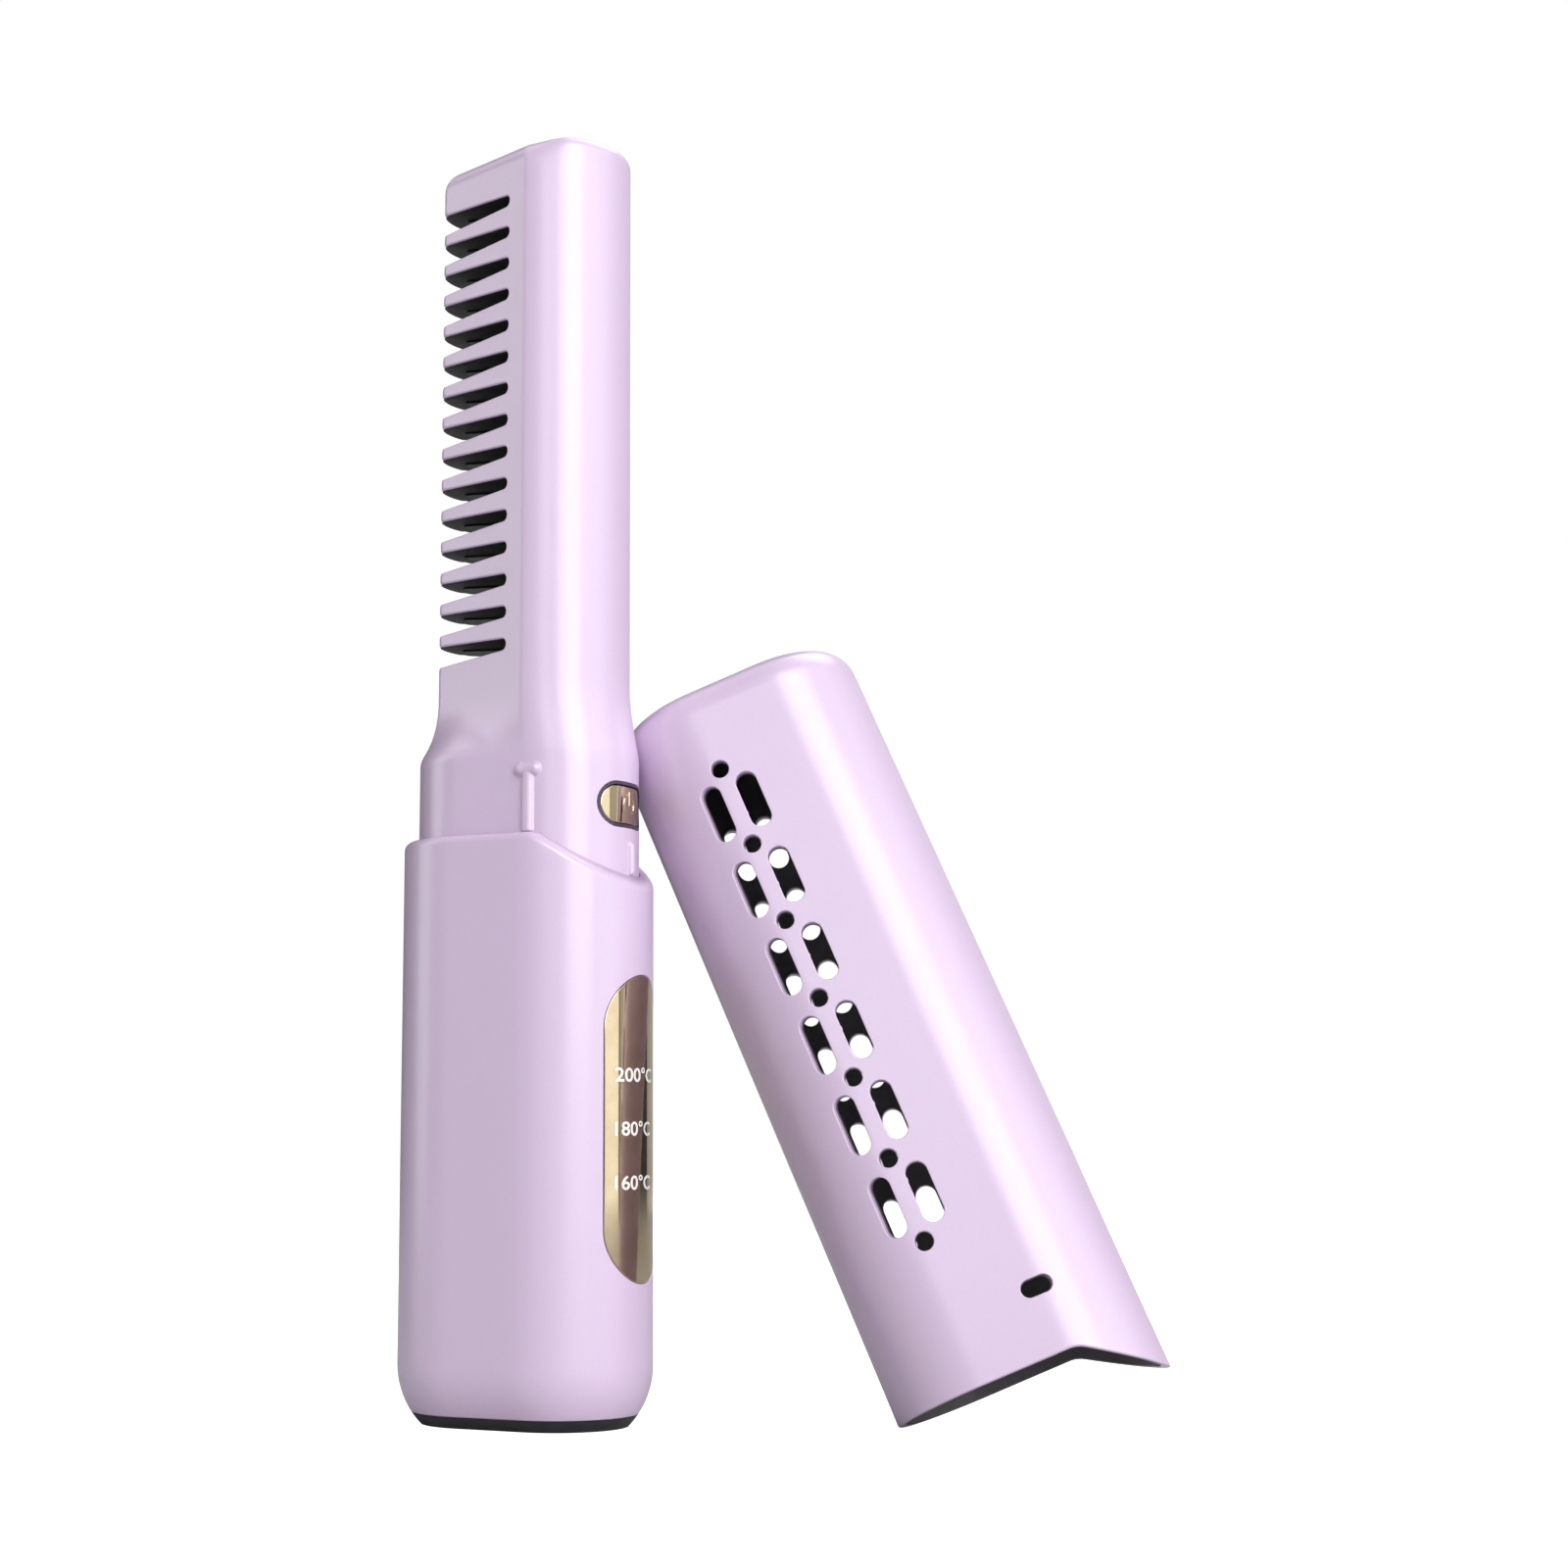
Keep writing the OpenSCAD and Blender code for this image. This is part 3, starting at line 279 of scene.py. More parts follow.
square = run([[0, 0], [4, 0], [4, 4], [0, 4], [0, 0]], 1.0)
square_fill = grid(np.arange(0.5, 4), np.arange(0.5, 4))
print("a square of 4 mm is filled with",
      len(fill_pattern([square], [{}], 1, square_fill, 0)[1]), "triangles")

# %% [markdown]
# An edge is a quarter circle: at angle t the surface has gone edge x (1 - cos t) deep and stands
# edge x (1 - sin t) away from the wall. The same happens on the inner side with a small radius.


# %% Bend a flat pattern into a closed shell
INNER_ROUND = 0.12
SLANT = 0.7  # equal shares of up and out, for a normal that leans halfway
TINY_STEP = 2e-3


def unit(vectors):
    """Vectors of length 1."""
    return vectors / np.maximum(np.linalg.norm(vectors, axis=1, keepdims=True), 1e-12)


def frame_at(place, u, v, side):
    """Directions along u and v and the outward normal, from small differences of the formula."""
    e = TINY_STEP
    zero = np.zeros_like(u)
    along_u = place(u + e, v, zero) - place(u - e, v, zero)
    along_v = place(u, v + e, zero) - place(u, v - e, zero)
    return along_u / (2 * e), along_v / (2 * e), unit(side * np.cross(along_u, along_v))


def edge_steps(edge, full, rings):
    """Steps of an edge from the outer surface into a wall of depth full: how far a step stands
    off the wall, how deep it lies, and the shares of up and out in its normal. The last two are
    the inner edge, a bevel of INNER_ROUND or less."""
    inner = np.minimum(edge[:, 0], INNER_ROUND)
    steps = [(edge * (1 - math.sin(t)), edge[:, 0] * (1 - math.cos(t)), math.cos(t), math.sin(t))
             for t in np.radians(np.linspace(0, 90, rings + 1)[1:])]
    steps.append((edge * 0, full - inner, 0, 1))
    steps.append((inner[:, None], full, -SLANT, SLANT))
    return steps


def strip(before, after):
    """Four-sided faces between two rings of the same number of points."""
    return np.stack([np.roll(before, -1), before, after, np.roll(after, -1)], 1)


def shell(place, border, holes, fill, thick, side=1, wrap=0.0, rings=4):
    """Closed thin shell. place(u, v, depth) bends the pattern. border and holes are dicts with
    points (material on their left), edge (rounding, a number or one per point), wrap (the length
    that the outline closes over, or 0) and lid (True closes it with a flat face instead of a wall).
    thick is the wall's thickness, a number or a function of u and v. side is -1 where u runs
    clockwise. Returns vertices, faces, normals and the first wall face."""
    thickness = thick if callable(thick) else lambda u, v: np.full_like(u, thick)
    loops = [dict(loop) for loop in border + holes]
    insets = []
    for loop in loops:
        loop["left"] = left_of(loop["points"], abs(loop.get("wrap", 0)))
        loop["edge"] = np.broadcast_to(np.asarray(loop["edge"], float), len(loop["points"])).copy()
        insets.append(loop["points"] + loop["left"] * loop["edge"][:, None])
    flat, triangles = fill_pattern(insets, loops, len(border), fill, wrap)

    u, v = flat[:, 0], flat[:, 1]
    normal = frame_at(place, u, v, side)[2]
    vertices = [place(u, v, np.zeros_like(u)), place(u, v, thickness(u, v))]
    normals = [normal, -normal]
    skins = np.vstack([triangles, triangles[:, ::-1] + len(flat)]).tolist()
    roundings, walls, lids = [], [], []
    start, total = 0, 2 * len(flat)
    for points, loop in zip(insets, loops):
        outer = np.arange(start, start + len(points))
        start += len(points)
        if loop.get("lid"):
            lids += [outer[::-1].tolist(), (outer + len(flat)).tolist()]
            continue
        wall, left = loop["points"], loop["left"]
        along_u, along_v, up = frame_at(place, wall[:, 0], wall[:, 1], side)
        out = -(left[:, :1] * along_u + left[:, 1:] * along_v)
        out = unit(out - up * (out * up).sum(1, keepdims=True))
        steps = edge_steps(loop["edge"][:, None], thickness(points[:, 0], points[:, 1]), rings)
        before = outer
        for k, (off, down, by_up, by_out) in enumerate(steps):
            at = wall + left * off
            vertices.append(place(at[:, 0], at[:, 1], down))
            normals.append(unit(up * by_up + out * by_out))
            ring = np.arange(total, total + len(points))
            total += len(points)
            (roundings if k < rings else walls).append(strip(before, ring))
            before = ring
        walls.append(strip(before, outer + len(flat)))
    faces = skins + np.vstack(roundings).tolist()
    wall_from = len(faces)
    faces += np.vstack(walls).tolist() + lids
    if side < 0:
        faces = [face[::-1] for face in faces]
    return np.vstack(vertices), faces, np.vstack(normals), wall_from


tile = shell(lambda u, v, depth: np.stack([u, v, -depth], -1), [{"points": square, "edge": 0.3}],
             [], square_fill, 1.0)
print("the same square as a tile 1 mm thick has", len(tile[1]), "faces")

# %% [markdown]
# A piece is one or more shells in one mesh. The faces of a wall may have a finish of their own,
# as where a lacquered skin ends at a bare cut edge.


# %% Turn shells into a piece
def make_piece(name, parts, body, nodes, slot, wall_slot=None):
    """One object out of shells: vertices in mm, faces, normals. It rides on body, replaces
    the frame's nodes, and its finish belongs to the record's material slot. wall_slot names
    another finish for the faces of its walls."""
    vertices, faces, normals, is_wall, total = [], [], [], [], 0
    for points, polygons, shading, wall_from in parts:
        vertices.append(points)
        normals.append(shading)
        faces += [[index + total for index in polygon] for polygon in polygons]
        is_wall.append(np.arange(len(polygons)) >= wall_from)
        total += len(points)
    mesh = bpy.data.meshes.new(name)
    mesh.from_pydata((np.vstack(vertices) * MM).tolist(), [], faces)
    mesh.materials.append(FINISHES[slot])
    if wall_slot:
        mesh.materials.append(FINISHES[wall_slot])
        mesh.polygons.foreach_set("material_index", np.concatenate(is_wall).astype(np.int32))
    mesh.polygons.foreach_set("use_smooth", np.ones(len(faces), bool))
    mesh.normals_split_custom_set_from_vertices(np.vstack(normals).tolist())
    mesh.update()
    piece = bpy.data.objects.new(name, mesh)
    scene.collection.objects.link(piece)
    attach(piece, body)
    if nodes:
        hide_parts(*nodes)
    print(f"{name}: {len(faces)} faces")


# %% [markdown]
# ## Colours and finishes
# Each finish is a small network of nodes. One helper adds a node, another turns the hex colour
# that a painter would note down into the linear light that the renderer adds up.


# %% Helpers for materials
def linear(hex_colour):
    """An sRGB hex colour as linear red, green, blue and alpha: a straight line near black, and
    ((c + 0.055) / 1.055) to the power 2.4 above it."""
    raw = np.array([int(hex_colour[k:k + 2], 16) for k in (1, 3, 5)]) / 255
    light = np.where(raw <= 0.04045, raw / 12.92, ((raw + 0.055) / 1.055) ** 2.4)
    return (*light.tolist(), 1.0)


def add(tree, kind, inputs=None, **settings):
    """Adds a node, sets its properties, then fills its inputs with values or links."""
    new = tree.nodes.new(kind)
    for key, value in settings.items():
        setattr(new, key, value)
    for key, value in (inputs or {}).items():
        if isinstance(value, bpy.types.NodeSocket):
            tree.links.new(value, new.inputs[key])
        else:
            new.inputs[key].default_value = value
    return new


def new_material(name):
    """An empty material with its tree and the object's own coordinates."""
    material = bpy.data.materials.new(name)
    material.use_nodes = True
    material.node_tree.nodes.clear()
    where = add(material.node_tree, "ShaderNodeTexCoord").outputs["Object"]
    return material, material.node_tree, where


def finish_surface(material, tree, inputs):
    """Puts a Principled surface with these inputs on the material."""
    surface = add(tree, "ShaderNodeBsdfPrincipled", inputs)
    add(tree, "ShaderNodeOutputMaterial", {"Surface": surface.outputs["BSDF"]})
    return material


def noise_scale(size_mm):
    """Scale at which a noise texture's grains are about size_mm wide."""
    return 1 / (size_mm * MM)


def tone(tree, where, size_mm, dark, light, detail=3.0):
    """A colour that wanders between two hex colours over patches of size_mm."""
    patches = add(tree, "ShaderNodeTexNoise",
                  {"Vector": where, "Scale": noise_scale(size_mm), "Detail": detail})
    ramp = add(tree, "ShaderNodeValToRGB", {"Fac": patches.outputs["Fac"]})
    ramp.color_ramp.elements[0].position = 0.35
    ramp.color_ramp.elements[1].position = 0.65
    ramp.color_ramp.elements[0].color = linear(dark)
    ramp.color_ramp.elements[1].color = linear(light)
    return ramp.outputs["Color"]


def grain_bump(tree, where, size_mm, height_mm, strength=1.0):
    """Bump of a fine grain: grains size_mm wide and height_mm high."""
    grains = add(tree, "ShaderNodeTexNoise",
                 {"Vector": where, "Scale": noise_scale(size_mm), "Detail": 2.0})
    bump = add(tree, "ShaderNodeBump", {"Height": grains.outputs["Fac"], "Strength": strength,
                                        "Distance": height_mm * MM})
    return bump.outputs["Normal"]


def rough_range(tree, where, size_mm, low, high):
    """A roughness that wanders between low and high over patches of size_mm."""
    patches = add(tree, "ShaderNodeTexNoise",
                  {"Vector": where, "Scale": noise_scale(size_mm), "Detail": 4.0})
    spread = add(tree, "ShaderNodeMapRange",
                 {"Value": patches.outputs["Fac"], "From Min": 0.3, "From Max": 0.7,
                  "To Min": low, "To Max": high})
    return spread.outputs["Result"]


print("lilac as light:", [round(value, 3) for value in linear("#dcc8e3")])

# %% [markdown]
# ### Pearl lilac ABS
# The casings are injection moulded ABS, sprayed with a pearl lacquer. The pearl is fine mica
# flakes under clear coat: the colour stays soft and milky, the light spreads into a wide band,
# and a second, sharper gloss lies on top. The flakes could be given a metal's gloss, but that
# turns the shade sides grey. A milky base under a neutral gloss and a coat keeps them lilac.
# Real flakes are about 0.03 mm and too fine to show, so they are drawn 0.12 mm wide, as a very
# faint change of brightness.


# %% Pearl lilac
def pearl_lilac():
    """Sprayed pearl lacquer: wide soft sheen under a thin clear coat."""
    material, tree, where = new_material("pearl_lilac_abs")
    flakes = add(tree, "ShaderNodeTexVoronoi", {"Vector": where, "Scale": noise_scale(0.12)})
    colour = add(tree, "ShaderNodeMix", {
        "Factor": flakes.outputs["Distance"],
        "A": linear("#dcc8e3"), "B": linear("#d4bedb")}, data_type="RGBA")
    return finish_surface(material, tree, {
        "Base Color": colour.outputs["Result"], "Metallic": 0.0,
        "Roughness": rough_range(tree, where, 6.0, 0.31, 0.35), "IOR": 1.68,
        "Normal": grain_bump(tree, where, 0.4, 0.002, 0.3),
        "Coat Weight": 0.25, "Coat Roughness": 0.16, "Coat IOR": 1.5})


pearl = pearl_lilac()
print(pearl.name, "has", len(pearl.node_tree.nodes), "nodes")

# %% [markdown]
# ### Gold mirror
# Window and button are plastic with a vacuum deposited gold film under a clear lacquer. The film
# mirrors the room, so it looks cream where it sees a lamp and brown where it sees the dark. Its
# bands could be painted on, but they would stay still when the view turns. Here it is a true
# mirror, and the cards that it mirrors stand in the room.


# %% Gold mirror
def gold_mirror():
    """Vacuum metallised plastic: a warm mirror with a trace of softness."""
    material, tree, where = new_material("gold_metallised_film")
    return finish_surface(material, tree, {
        "Base Color": tone(tree, where, 4.0, "#bfad8f", "#c8b79a"), "Metallic": 1.0,
        "Roughness": rough_range(tree, where, 3.0, 0.07, 0.10),
        "Normal": grain_bump(tree, where, 5.0, 0.01, 0.15)})


gold = gold_mirror()
print(gold.name, "has", len(gold.node_tree.nodes), "nodes")

# %% [markdown]
# ### The other plastics and the metals
# Glass filled nylon stands the heat of the comb. It is moulded in an eroded tool, so it is matt
# with a fine grain. The button's ring is dark ABS from a polished tool, and the cap's lining is
# a matt black moulding, coloured mid grey here: painted light for the light falling in on it.
#
# Two functions make them all. A moulding has a range of roughness and the grain of its tool. A
# metal also has marks along the direction in which it was rolled or drawn, which is the same
# grain stretched. The inner pieces are never seen from outside and are finished in the same
# way, so that the object also looks right when it is taken apart.


# %% Other plastics
def moulded(name, dark, light, low, high, grain_mm, height_mm, ior=1.5):
    """Injection moulded plastic: two near tones, a range of roughness and the tool's grain."""
    material, tree, where = new_material(name)
    return finish_surface(material, tree, {
        "Base Color": tone(tree, where, 3.0, dark, light), "Metallic": 0.0,
        "Roughness": rough_range(tree, where, 2.0, low, high), "IOR": ior,
        "Normal": grain_bump(tree, where, grain_mm, height_mm, 0.5)})


def metal(name, dark, light, low, high, grain_mm, height_mm):
    """Bare or plated metal: its colour, a range of roughness and the marks of its making."""
    material, tree, where = new_material(name)
    stretched = add(tree, "ShaderNodeMapping", {"Vector": where, "Scale": (1.0, 1.0, 0.08)})
    return finish_surface(material, tree, {
        "Base Color": tone(tree, where, 2.0, dark, light), "Metallic": 1.0,
        "Roughness": rough_range(tree, where, 1.5, low, high),
        "Normal": grain_bump(tree, stretched.outputs["Vector"], grain_mm, height_mm, 0.4)})


# Each row: name, darker and lighter tone, least and most roughness, grain and its height in mm,
# and for a plastic its IOR where it isn't 1.5.
PLASTICS = {
    # Eroded tool: matt black, with a fine grain that breaks up the gloss.
    "black_nylon": ("black_glass_filled_nylon", "#1f1d20", "#272428", 0.5, 0.6, 0.25, 0.01, 1.53),
    # Polished tool: dark plum with a narrow, clear gloss.
    "bezel_dark": ("dark_polished_abs", "#3f3142", "#48394b", 0.22, 0.30, 0.5, 0.003),
    # Eroded tool, not lacquered: a black moulding. Its mid grey is painted light, for the light
    # that falls in through the vents.
    "cap_lining": ("black_lining_painted_lit_grey", "#676268", "#6f6a70", 0.5, 0.62, 0.3, 0.015),
    # Moulded without dye: a milky, slightly yellow white.
    "white_nylon": ("natural_white_nylon", "#dfdcd2", "#e9e6de", 0.4, 0.5, 0.3, 0.008, 1.53),
    # Shrunk film: smooth, with an even gloss.
    "cell_wrap": ("heat_shrunk_blue_pvc", "#2f6ea3", "#3a7db4", 0.25, 0.35, 0.6, 0.004, 1.54),
    # Lacquer over copper: green, gently waved.
    "board_laminate": ("green_solder_mask", "#1a5336", "#21603f", 0.25, 0.38, 0.4, 0.01, 1.55),
    # Pressed epoxy full of filler: a flat black.
    "chip_black": ("black_moulding_epoxy", "#1c1c1e", "#26262a", 0.5, 0.6, 0.15, 0.008, 1.55),
    # Pressed and fired powder: dull dark grey.
    "ferrite_grey": ("sintered_ferrite", "#46464c", "#54545a", 0.55, 0.7, 0.2, 0.012, 2.3),
    # Cast epoxy, and the ink of the marks: a smooth, clean white.
    "lamp_white": ("milky_lamp_epoxy", "#ecebe4", "#f6f5ef", 0.2, 0.3, 0.4, 0.003, 1.55),
    # Fired ceramic: dull warm grey.
    "chip_ceramic": ("fired_barium_titanate", "#7c7b74", "#8d8c84", 0.6, 0.75, 0.2, 0.01, 2.2),
    # Wound film: amber with a hard gloss.
    "polyimide_film": ("amber_polyimide_film", "#b2701c", "#c98326", 0.18, 0.28, 0.8, 0.003, 1.7),
    # Extruded rubber: soft, matt red.
    "wire_silicone": ("red_silicone_rubber", "#8f2a24", "#a3332b", 0.45, 0.55, 0.5, 0.004, 1.41),
    # Extruded sleeve: a waxy white.
    "wire_white": ("white_ptfe_sleeve", "#e4e1d8", "#efece4", 0.35, 0.45, 0.5, 0.003, 1.38),
}
METALS = {
    # Plated in a barrel: bluish and slightly dull.
    "screw_steel": ("zinc_plated_steel", "#a9adb3", "#bcc0c6", 0.25, 0.38, 0.2, 0.006),
    # Rolled: warm grey with fine lines.
    "nickel_strip": ("rolled_nickel_strip", "#a6a39a", "#b8b5ac", 0.25, 0.35, 0.15, 0.004),
    # Drawn and plated: bright and smooth.
    "inlet_steel": ("nickel_plated_steel_shell", "#b6b8bb", "#c6c8cb", 0.18, 0.28, 0.3, 0.003),
    # Anodised and dyed: a black satin.
    "heated_aluminium": ("black_anodised_aluminium", "#2b2b2e", "#37373b", 0.35, 0.45, 0.2, 0.006),
    # Rolled: yellow with fine lines.
    "electrode_brass": ("rolled_brass_strip", "#b5924c", "#c6a35c", 0.25, 0.35, 0.15, 0.004),
    # Drawn and tinned: pale and a little soft.
    "fuse_can": ("tinned_steel_can", "#a4a8ac", "#b6babe", 0.22, 0.32, 0.3, 0.004),
}
FINISHES = {"pearl_lilac": pearl, "gold_mirror": gold}
FINISHES.update({slot: moulded(*row) for slot, row in PLASTICS.items()})
FINISHES.update({slot: metal(*row) for slot, row in METALS.items()})
print("finishes:", len(FINISHES))

# %% [markdown]
# The pieces that stay as the frame has them get their finish by the name of the material slot
# that the record gives them.

# %% Give every node of the frame its finish
finished = 0
for name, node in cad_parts.items():
    for material_slot in node.material_slots:
        wanted = material_slot.material.name.split(".")[0]
        if wanted in FINISHES:
            material_slot.material = FINISHES[wanted]
            finished += 1
        else:
            print("no finish for", name, wanted)
print("slots of the frame that got a finish:", finished)

# %% [markdown]
# ## The comb's two halves
# Collar, neck and head are one moulding, split along its middle into a front and a rear half.
# The section changes from the shared outline of the collar to the head's own section: a round
# spine, two flat flanks and a rounded nose. The neck could be a loft through a few drawn
# sections, but then its curve would depend on how they were drawn. Both sections are written
# for the same u instead, so the neck is a mix of the two whose weight falls with height.

# %% Sizes of the comb's halves
COLLAR_TOP, NECK_TOP = 101.6, 112.0
SPINE_R, SPINE_X, CREASE_OFF = 12.0, 4.3, 0.8
TIP_X, TIP_Y, NOSE_BULGE = 14.0, 4.6, 1.2
FLANK_ROUND, SPINE_ROUND = 4.2, 2.0
HEAD_WALL, COLLAR_WALL = 1.2, 1.6
EDGE_ROUND = 1.0
CORNER_ROUND, CORNER_SAMPLES = 0.5, 9
SEAM_EDGE = 0.03
# From this angle on (in radians) the spine's radius runs over to the flank's, and the flank's
# end moves in by this share of its inset.
LATE_TURN, LATE_SHIFT = 0.87, 0.3
# The collar's flat takes this share of the flank's length in the pattern.
FLAT_SHARE = 0.6
# The neck's curve is a power of the height: this on the spine side, and up to the gain more on
# the teeth side.
NECK_POWER, NECK_POWER_GAIN = 1.4, 1.1
# How much of the wall is taken off where it laps the guard at the nose.
LAP_THIN = 0.75

crease_angle = math.acos(CREASE_OFF / SPINE_R)
crease = np.array([SPINE_X + CREASE_OFF, SPINE_R * math.sin(crease_angle)])
flank_slope = (crease[1] - TIP_Y) / (crease[0] + TIP_X)
flank_angle = math.atan(flank_slope)
nose_r = (TIP_Y ** 2 + NOSE_BULGE ** 2) / (2 * NOSE_BULGE)
nose_x = nose_r - NOSE_BULGE - TIP_X
U_CREASE = SPINE_R * crease_angle
U_TIP = U_CREASE + math.hypot(crease[0] + TIP_X, crease[1] - TIP_Y)
U_NOSE = U_TIP + nose_r * math.asin(TIP_Y / nose_r)
ROUND_Z = COMB_TOP - FLANK_ROUND
V_FLAT = ROUND_Z + FLANK_ROUND * math.pi / 2
print(f"pattern of a half: crease at {U_CREASE:.2f}, tips at {U_TIP:.2f}, nose at {U_NOSE:.2f} mm")


# %% Sections of head and collar
def head_section(u, flank_in, spine_in):
    """Half of the head's outline, drawn in by flank_in on flank and nose and by spine_in on the
    spine: a circle about the spine's centre, a straight flank and a flat arc at the nose. Late
    in its turn the circle's radius runs over to the flank's, so the two meet at the crease."""
    drop = flank_in / math.cos(flank_angle)
    end = np.stack([crease[0] - LATE_SHIFT * flank_in,
                    crease[1] - drop - LATE_SHIFT * flank_in * flank_slope], -1)
    a = 1 + flank_slope ** 2
    level = crease[1] - drop - flank_slope * crease[0]
    centre = nose_x + flank_in
    b = flank_slope * level - centre
    root = np.sqrt(np.maximum(b * b - a * (centre ** 2 + level ** 2 - nose_r ** 2), 0))
    tip_x = (-b - root) / a
    tip_y = np.maximum(level + flank_slope * tip_x, 0)
    turn = np.clip(u / SPINE_R, 0, crease_angle)
    late = smooth((turn - LATE_TURN) / (crease_angle - LATE_TURN))
    radius = SPINE_R - spine_in - (flank_in - spine_in) * late
    reach_in = SPINE_R - flank_in
    miss_x = end[..., 0] - SPINE_X - reach_in * math.cos(crease_angle)
    miss_y = end[..., 1] - reach_in * math.sin(crease_angle)
    x = SPINE_X + radius * np.cos(turn) + miss_x * late
    y = radius * np.sin(turn) + miss_y * late
    along = np.clip((u - U_CREASE) / (U_TIP - U_CREASE), 0, 1)
    x = x + (tip_x - end[..., 0]) * along
    y = y + (tip_y - end[..., 1]) * along
    round_nose = np.clip((u - U_TIP) / (U_NOSE - U_TIP), 0, 1)
    start = np.arcsin(np.clip(tip_y / nose_r, -1, 1))
    angle = start * (1 - round_nose)
    nose = u > U_TIP
    x = np.where(nose, centre - nose_r * np.cos(angle), x)
    y = np.where(nose, nose_r * np.sin(angle), y)
    return x, y


def collar_section(u):
    """Half of the collar's outline, matched to the head's: its round end takes the spine,
    its flat and a sixth of a circle take the flank, and the last twelfth takes the nose."""
    turn = math.pi / 2 * np.clip(u / U_CREASE, 0, 1)
    along = np.clip((u - U_CREASE) / (U_TIP - U_CREASE), 0, 1)
    flat = np.clip(along / FLAT_SHARE, 0, 1)
    turn = turn + math.radians(60) * np.clip((along - FLAT_SHARE) / (1 - FLAT_SHARE), 0, 1)
    turn = turn + math.radians(30) * np.clip((u - U_TIP) / (U_NOSE - U_TIP), 0, 1)
    return REACH - STRAIGHT * flat + COLLAR_R * np.cos(turn), COLLAR_R * np.sin(turn)


def collar_share(z, x):
    """How much of the collar's outline is left at height z: all of it below the collar's edge,
    (1 - w) to a power in the neck, and nothing in the head. The edge is rounded by averaging
    this over a short height, with the average taken from its integral."""
    tall = NECK_TOP - COLLAR_TOP
    power = NECK_POWER + NECK_POWER_GAIN * (REACH + COLLAR_R - x) / (2 * (REACH + COLLAR_R))

    def integral(height):
        """Area under the share up to a height above the collar's edge."""
        w = np.clip(height / tall, 0, 1)
        return np.minimum(height, 0) + tall / (power + 1) * (1 - (1 - w) ** (power + 1))

    high = integral(z + EDGE_ROUND - COLLAR_TOP)
    low = integral(z - EDGE_ROUND - COLLAR_TOP)
    return (high - low) / (2 * EDGE_ROUND)


section_x, section_y = head_section(np.array([0.0, U_CREASE, U_NOSE]), 0.0, 0.0)
print("the head reaches from x", section_x[2].round(2), "to", section_x[0].round(2),
      "and is", (2 * section_y[1]).round(2), "mm deep at its crease")

# %% [markdown]
# On top the section is drawn in along a quarter circle, and then the lid runs level to the middle.
# A sharp corner would catch no light, so the outline is averaged over half a millimetre to
# each side, which rounds its corners like a parabola and leaves the straight stretches alone.


# %% The form of one half
def half_form(u, v):
    """Point of the half with y >= 0: v is the height, then the way over the rounded top,
    then the way across the lid towards the middle."""
    over = np.clip((v - ROUND_Z) / FLANK_ROUND, 0, math.pi / 2)
    rise = FLANK_ROUND * np.sin(over)
    flank_in = FLANK_ROUND * (1 - np.cos(over))
    spine_rise = np.clip(rise - FLANK_ROUND + SPINE_ROUND, 0, SPINE_ROUND)
    spine_in = SPINE_ROUND - np.sqrt(np.maximum(SPINE_ROUND ** 2 - spine_rise ** 2, 0))
    offsets = np.linspace(-CORNER_ROUND, CORNER_ROUND, CORNER_SAMPLES)
    x_sum, y_sum = 0, 0
    for offset in offsets:
        s = u + offset
        mirrored = np.where((s < 0) | (s > U_NOSE), -1.0, 1.0)
        s = np.where(s < 0, -s, np.where(s > U_NOSE, 2 * U_NOSE - s, s))
        x, y = head_section(s, flank_in, spine_in)
        collar_x, collar_y = collar_section(s)
        share = collar_share(v, collar_x)
        x_sum = x_sum + x + (collar_x - x) * share
        y_sum = y_sum + mirrored * (y + (collar_y - y) * share)
    x, y = x_sum / len(offsets), y_sum / len(offsets)
    across = np.maximum(v - V_FLAT, 0)
    z = np.where(v > ROUND_Z, ROUND_Z + rise, v)
    return np.stack([x, y - across, z], -1)


def half_thickness(u, v):
    """Wall of a half: the collar's wall, the head's wall above it, thin where it laps the nose."""
    x, _ = collar_section(u)
    wall = HEAD_WALL + (COLLAR_WALL - HEAD_WALL) * collar_share(v, x)
    lap = np.clip((u - U_TIP) / (U_GUARD - U_TIP), 0, 1) * (v > NECK_TOP + 0.1)
    return wall * (1 - LAP_THIN * lap)


lid_point = half_form(np.array([0.0]), np.array([V_FLAT]))[0]
print("the head's lid lies at a height of", lid_point[2].round(2), "mm")

# %% [markdown]
# The latch rib and the small rib on the spine are part of the moulding. They could be pieces of
# their own, but a seam would show at the foot. They are raised as bumps of the sheet instead:
# the height over a rib follows a half ellipse of the distance from its middle line, averaged
# over 0.1 mm, which leaves a small fillet at its foot.

# %% Ribs on the collar
LATCH_S = COLLAR_R * math.radians(86)
LATCH_Z = RIM_Z + 9.8
# LIFT is a height above the collar, HALF half the width of a rib, AT and REACH a place on the
# bar to both sides of the stem, and RUNOUT the length over which a rib fades at its foot.
RIB_LIFT, RIB_HALF, RIB_FOOT, RIB_TOP = 0.7, 0.65, 82.5, 87.8
STEM_HALF = 0.92
BAR_LIFT, BAR_HALF, BAR_REACH = 0.86, 0.95, 1.1
BEAD_LIFT, BEAD_HALF, BEAD_AT = 0.95, 1.02, 1.15
RIB_BLUR = 0.1
RIB_RUNOUT, STEM_RUNOUT, LIFT_DEPTH = 0.5, 0.3, 0.5
FAR_WAY = 50


def half_ellipse(lift, half_width, distance):
    """Height of a half ellipse at a distance from its middle: lift x sqrt(1 - (d / half)^2)."""
    return lift * np.sqrt(np.maximum(1 - (distance / half_width) ** 2, 0))


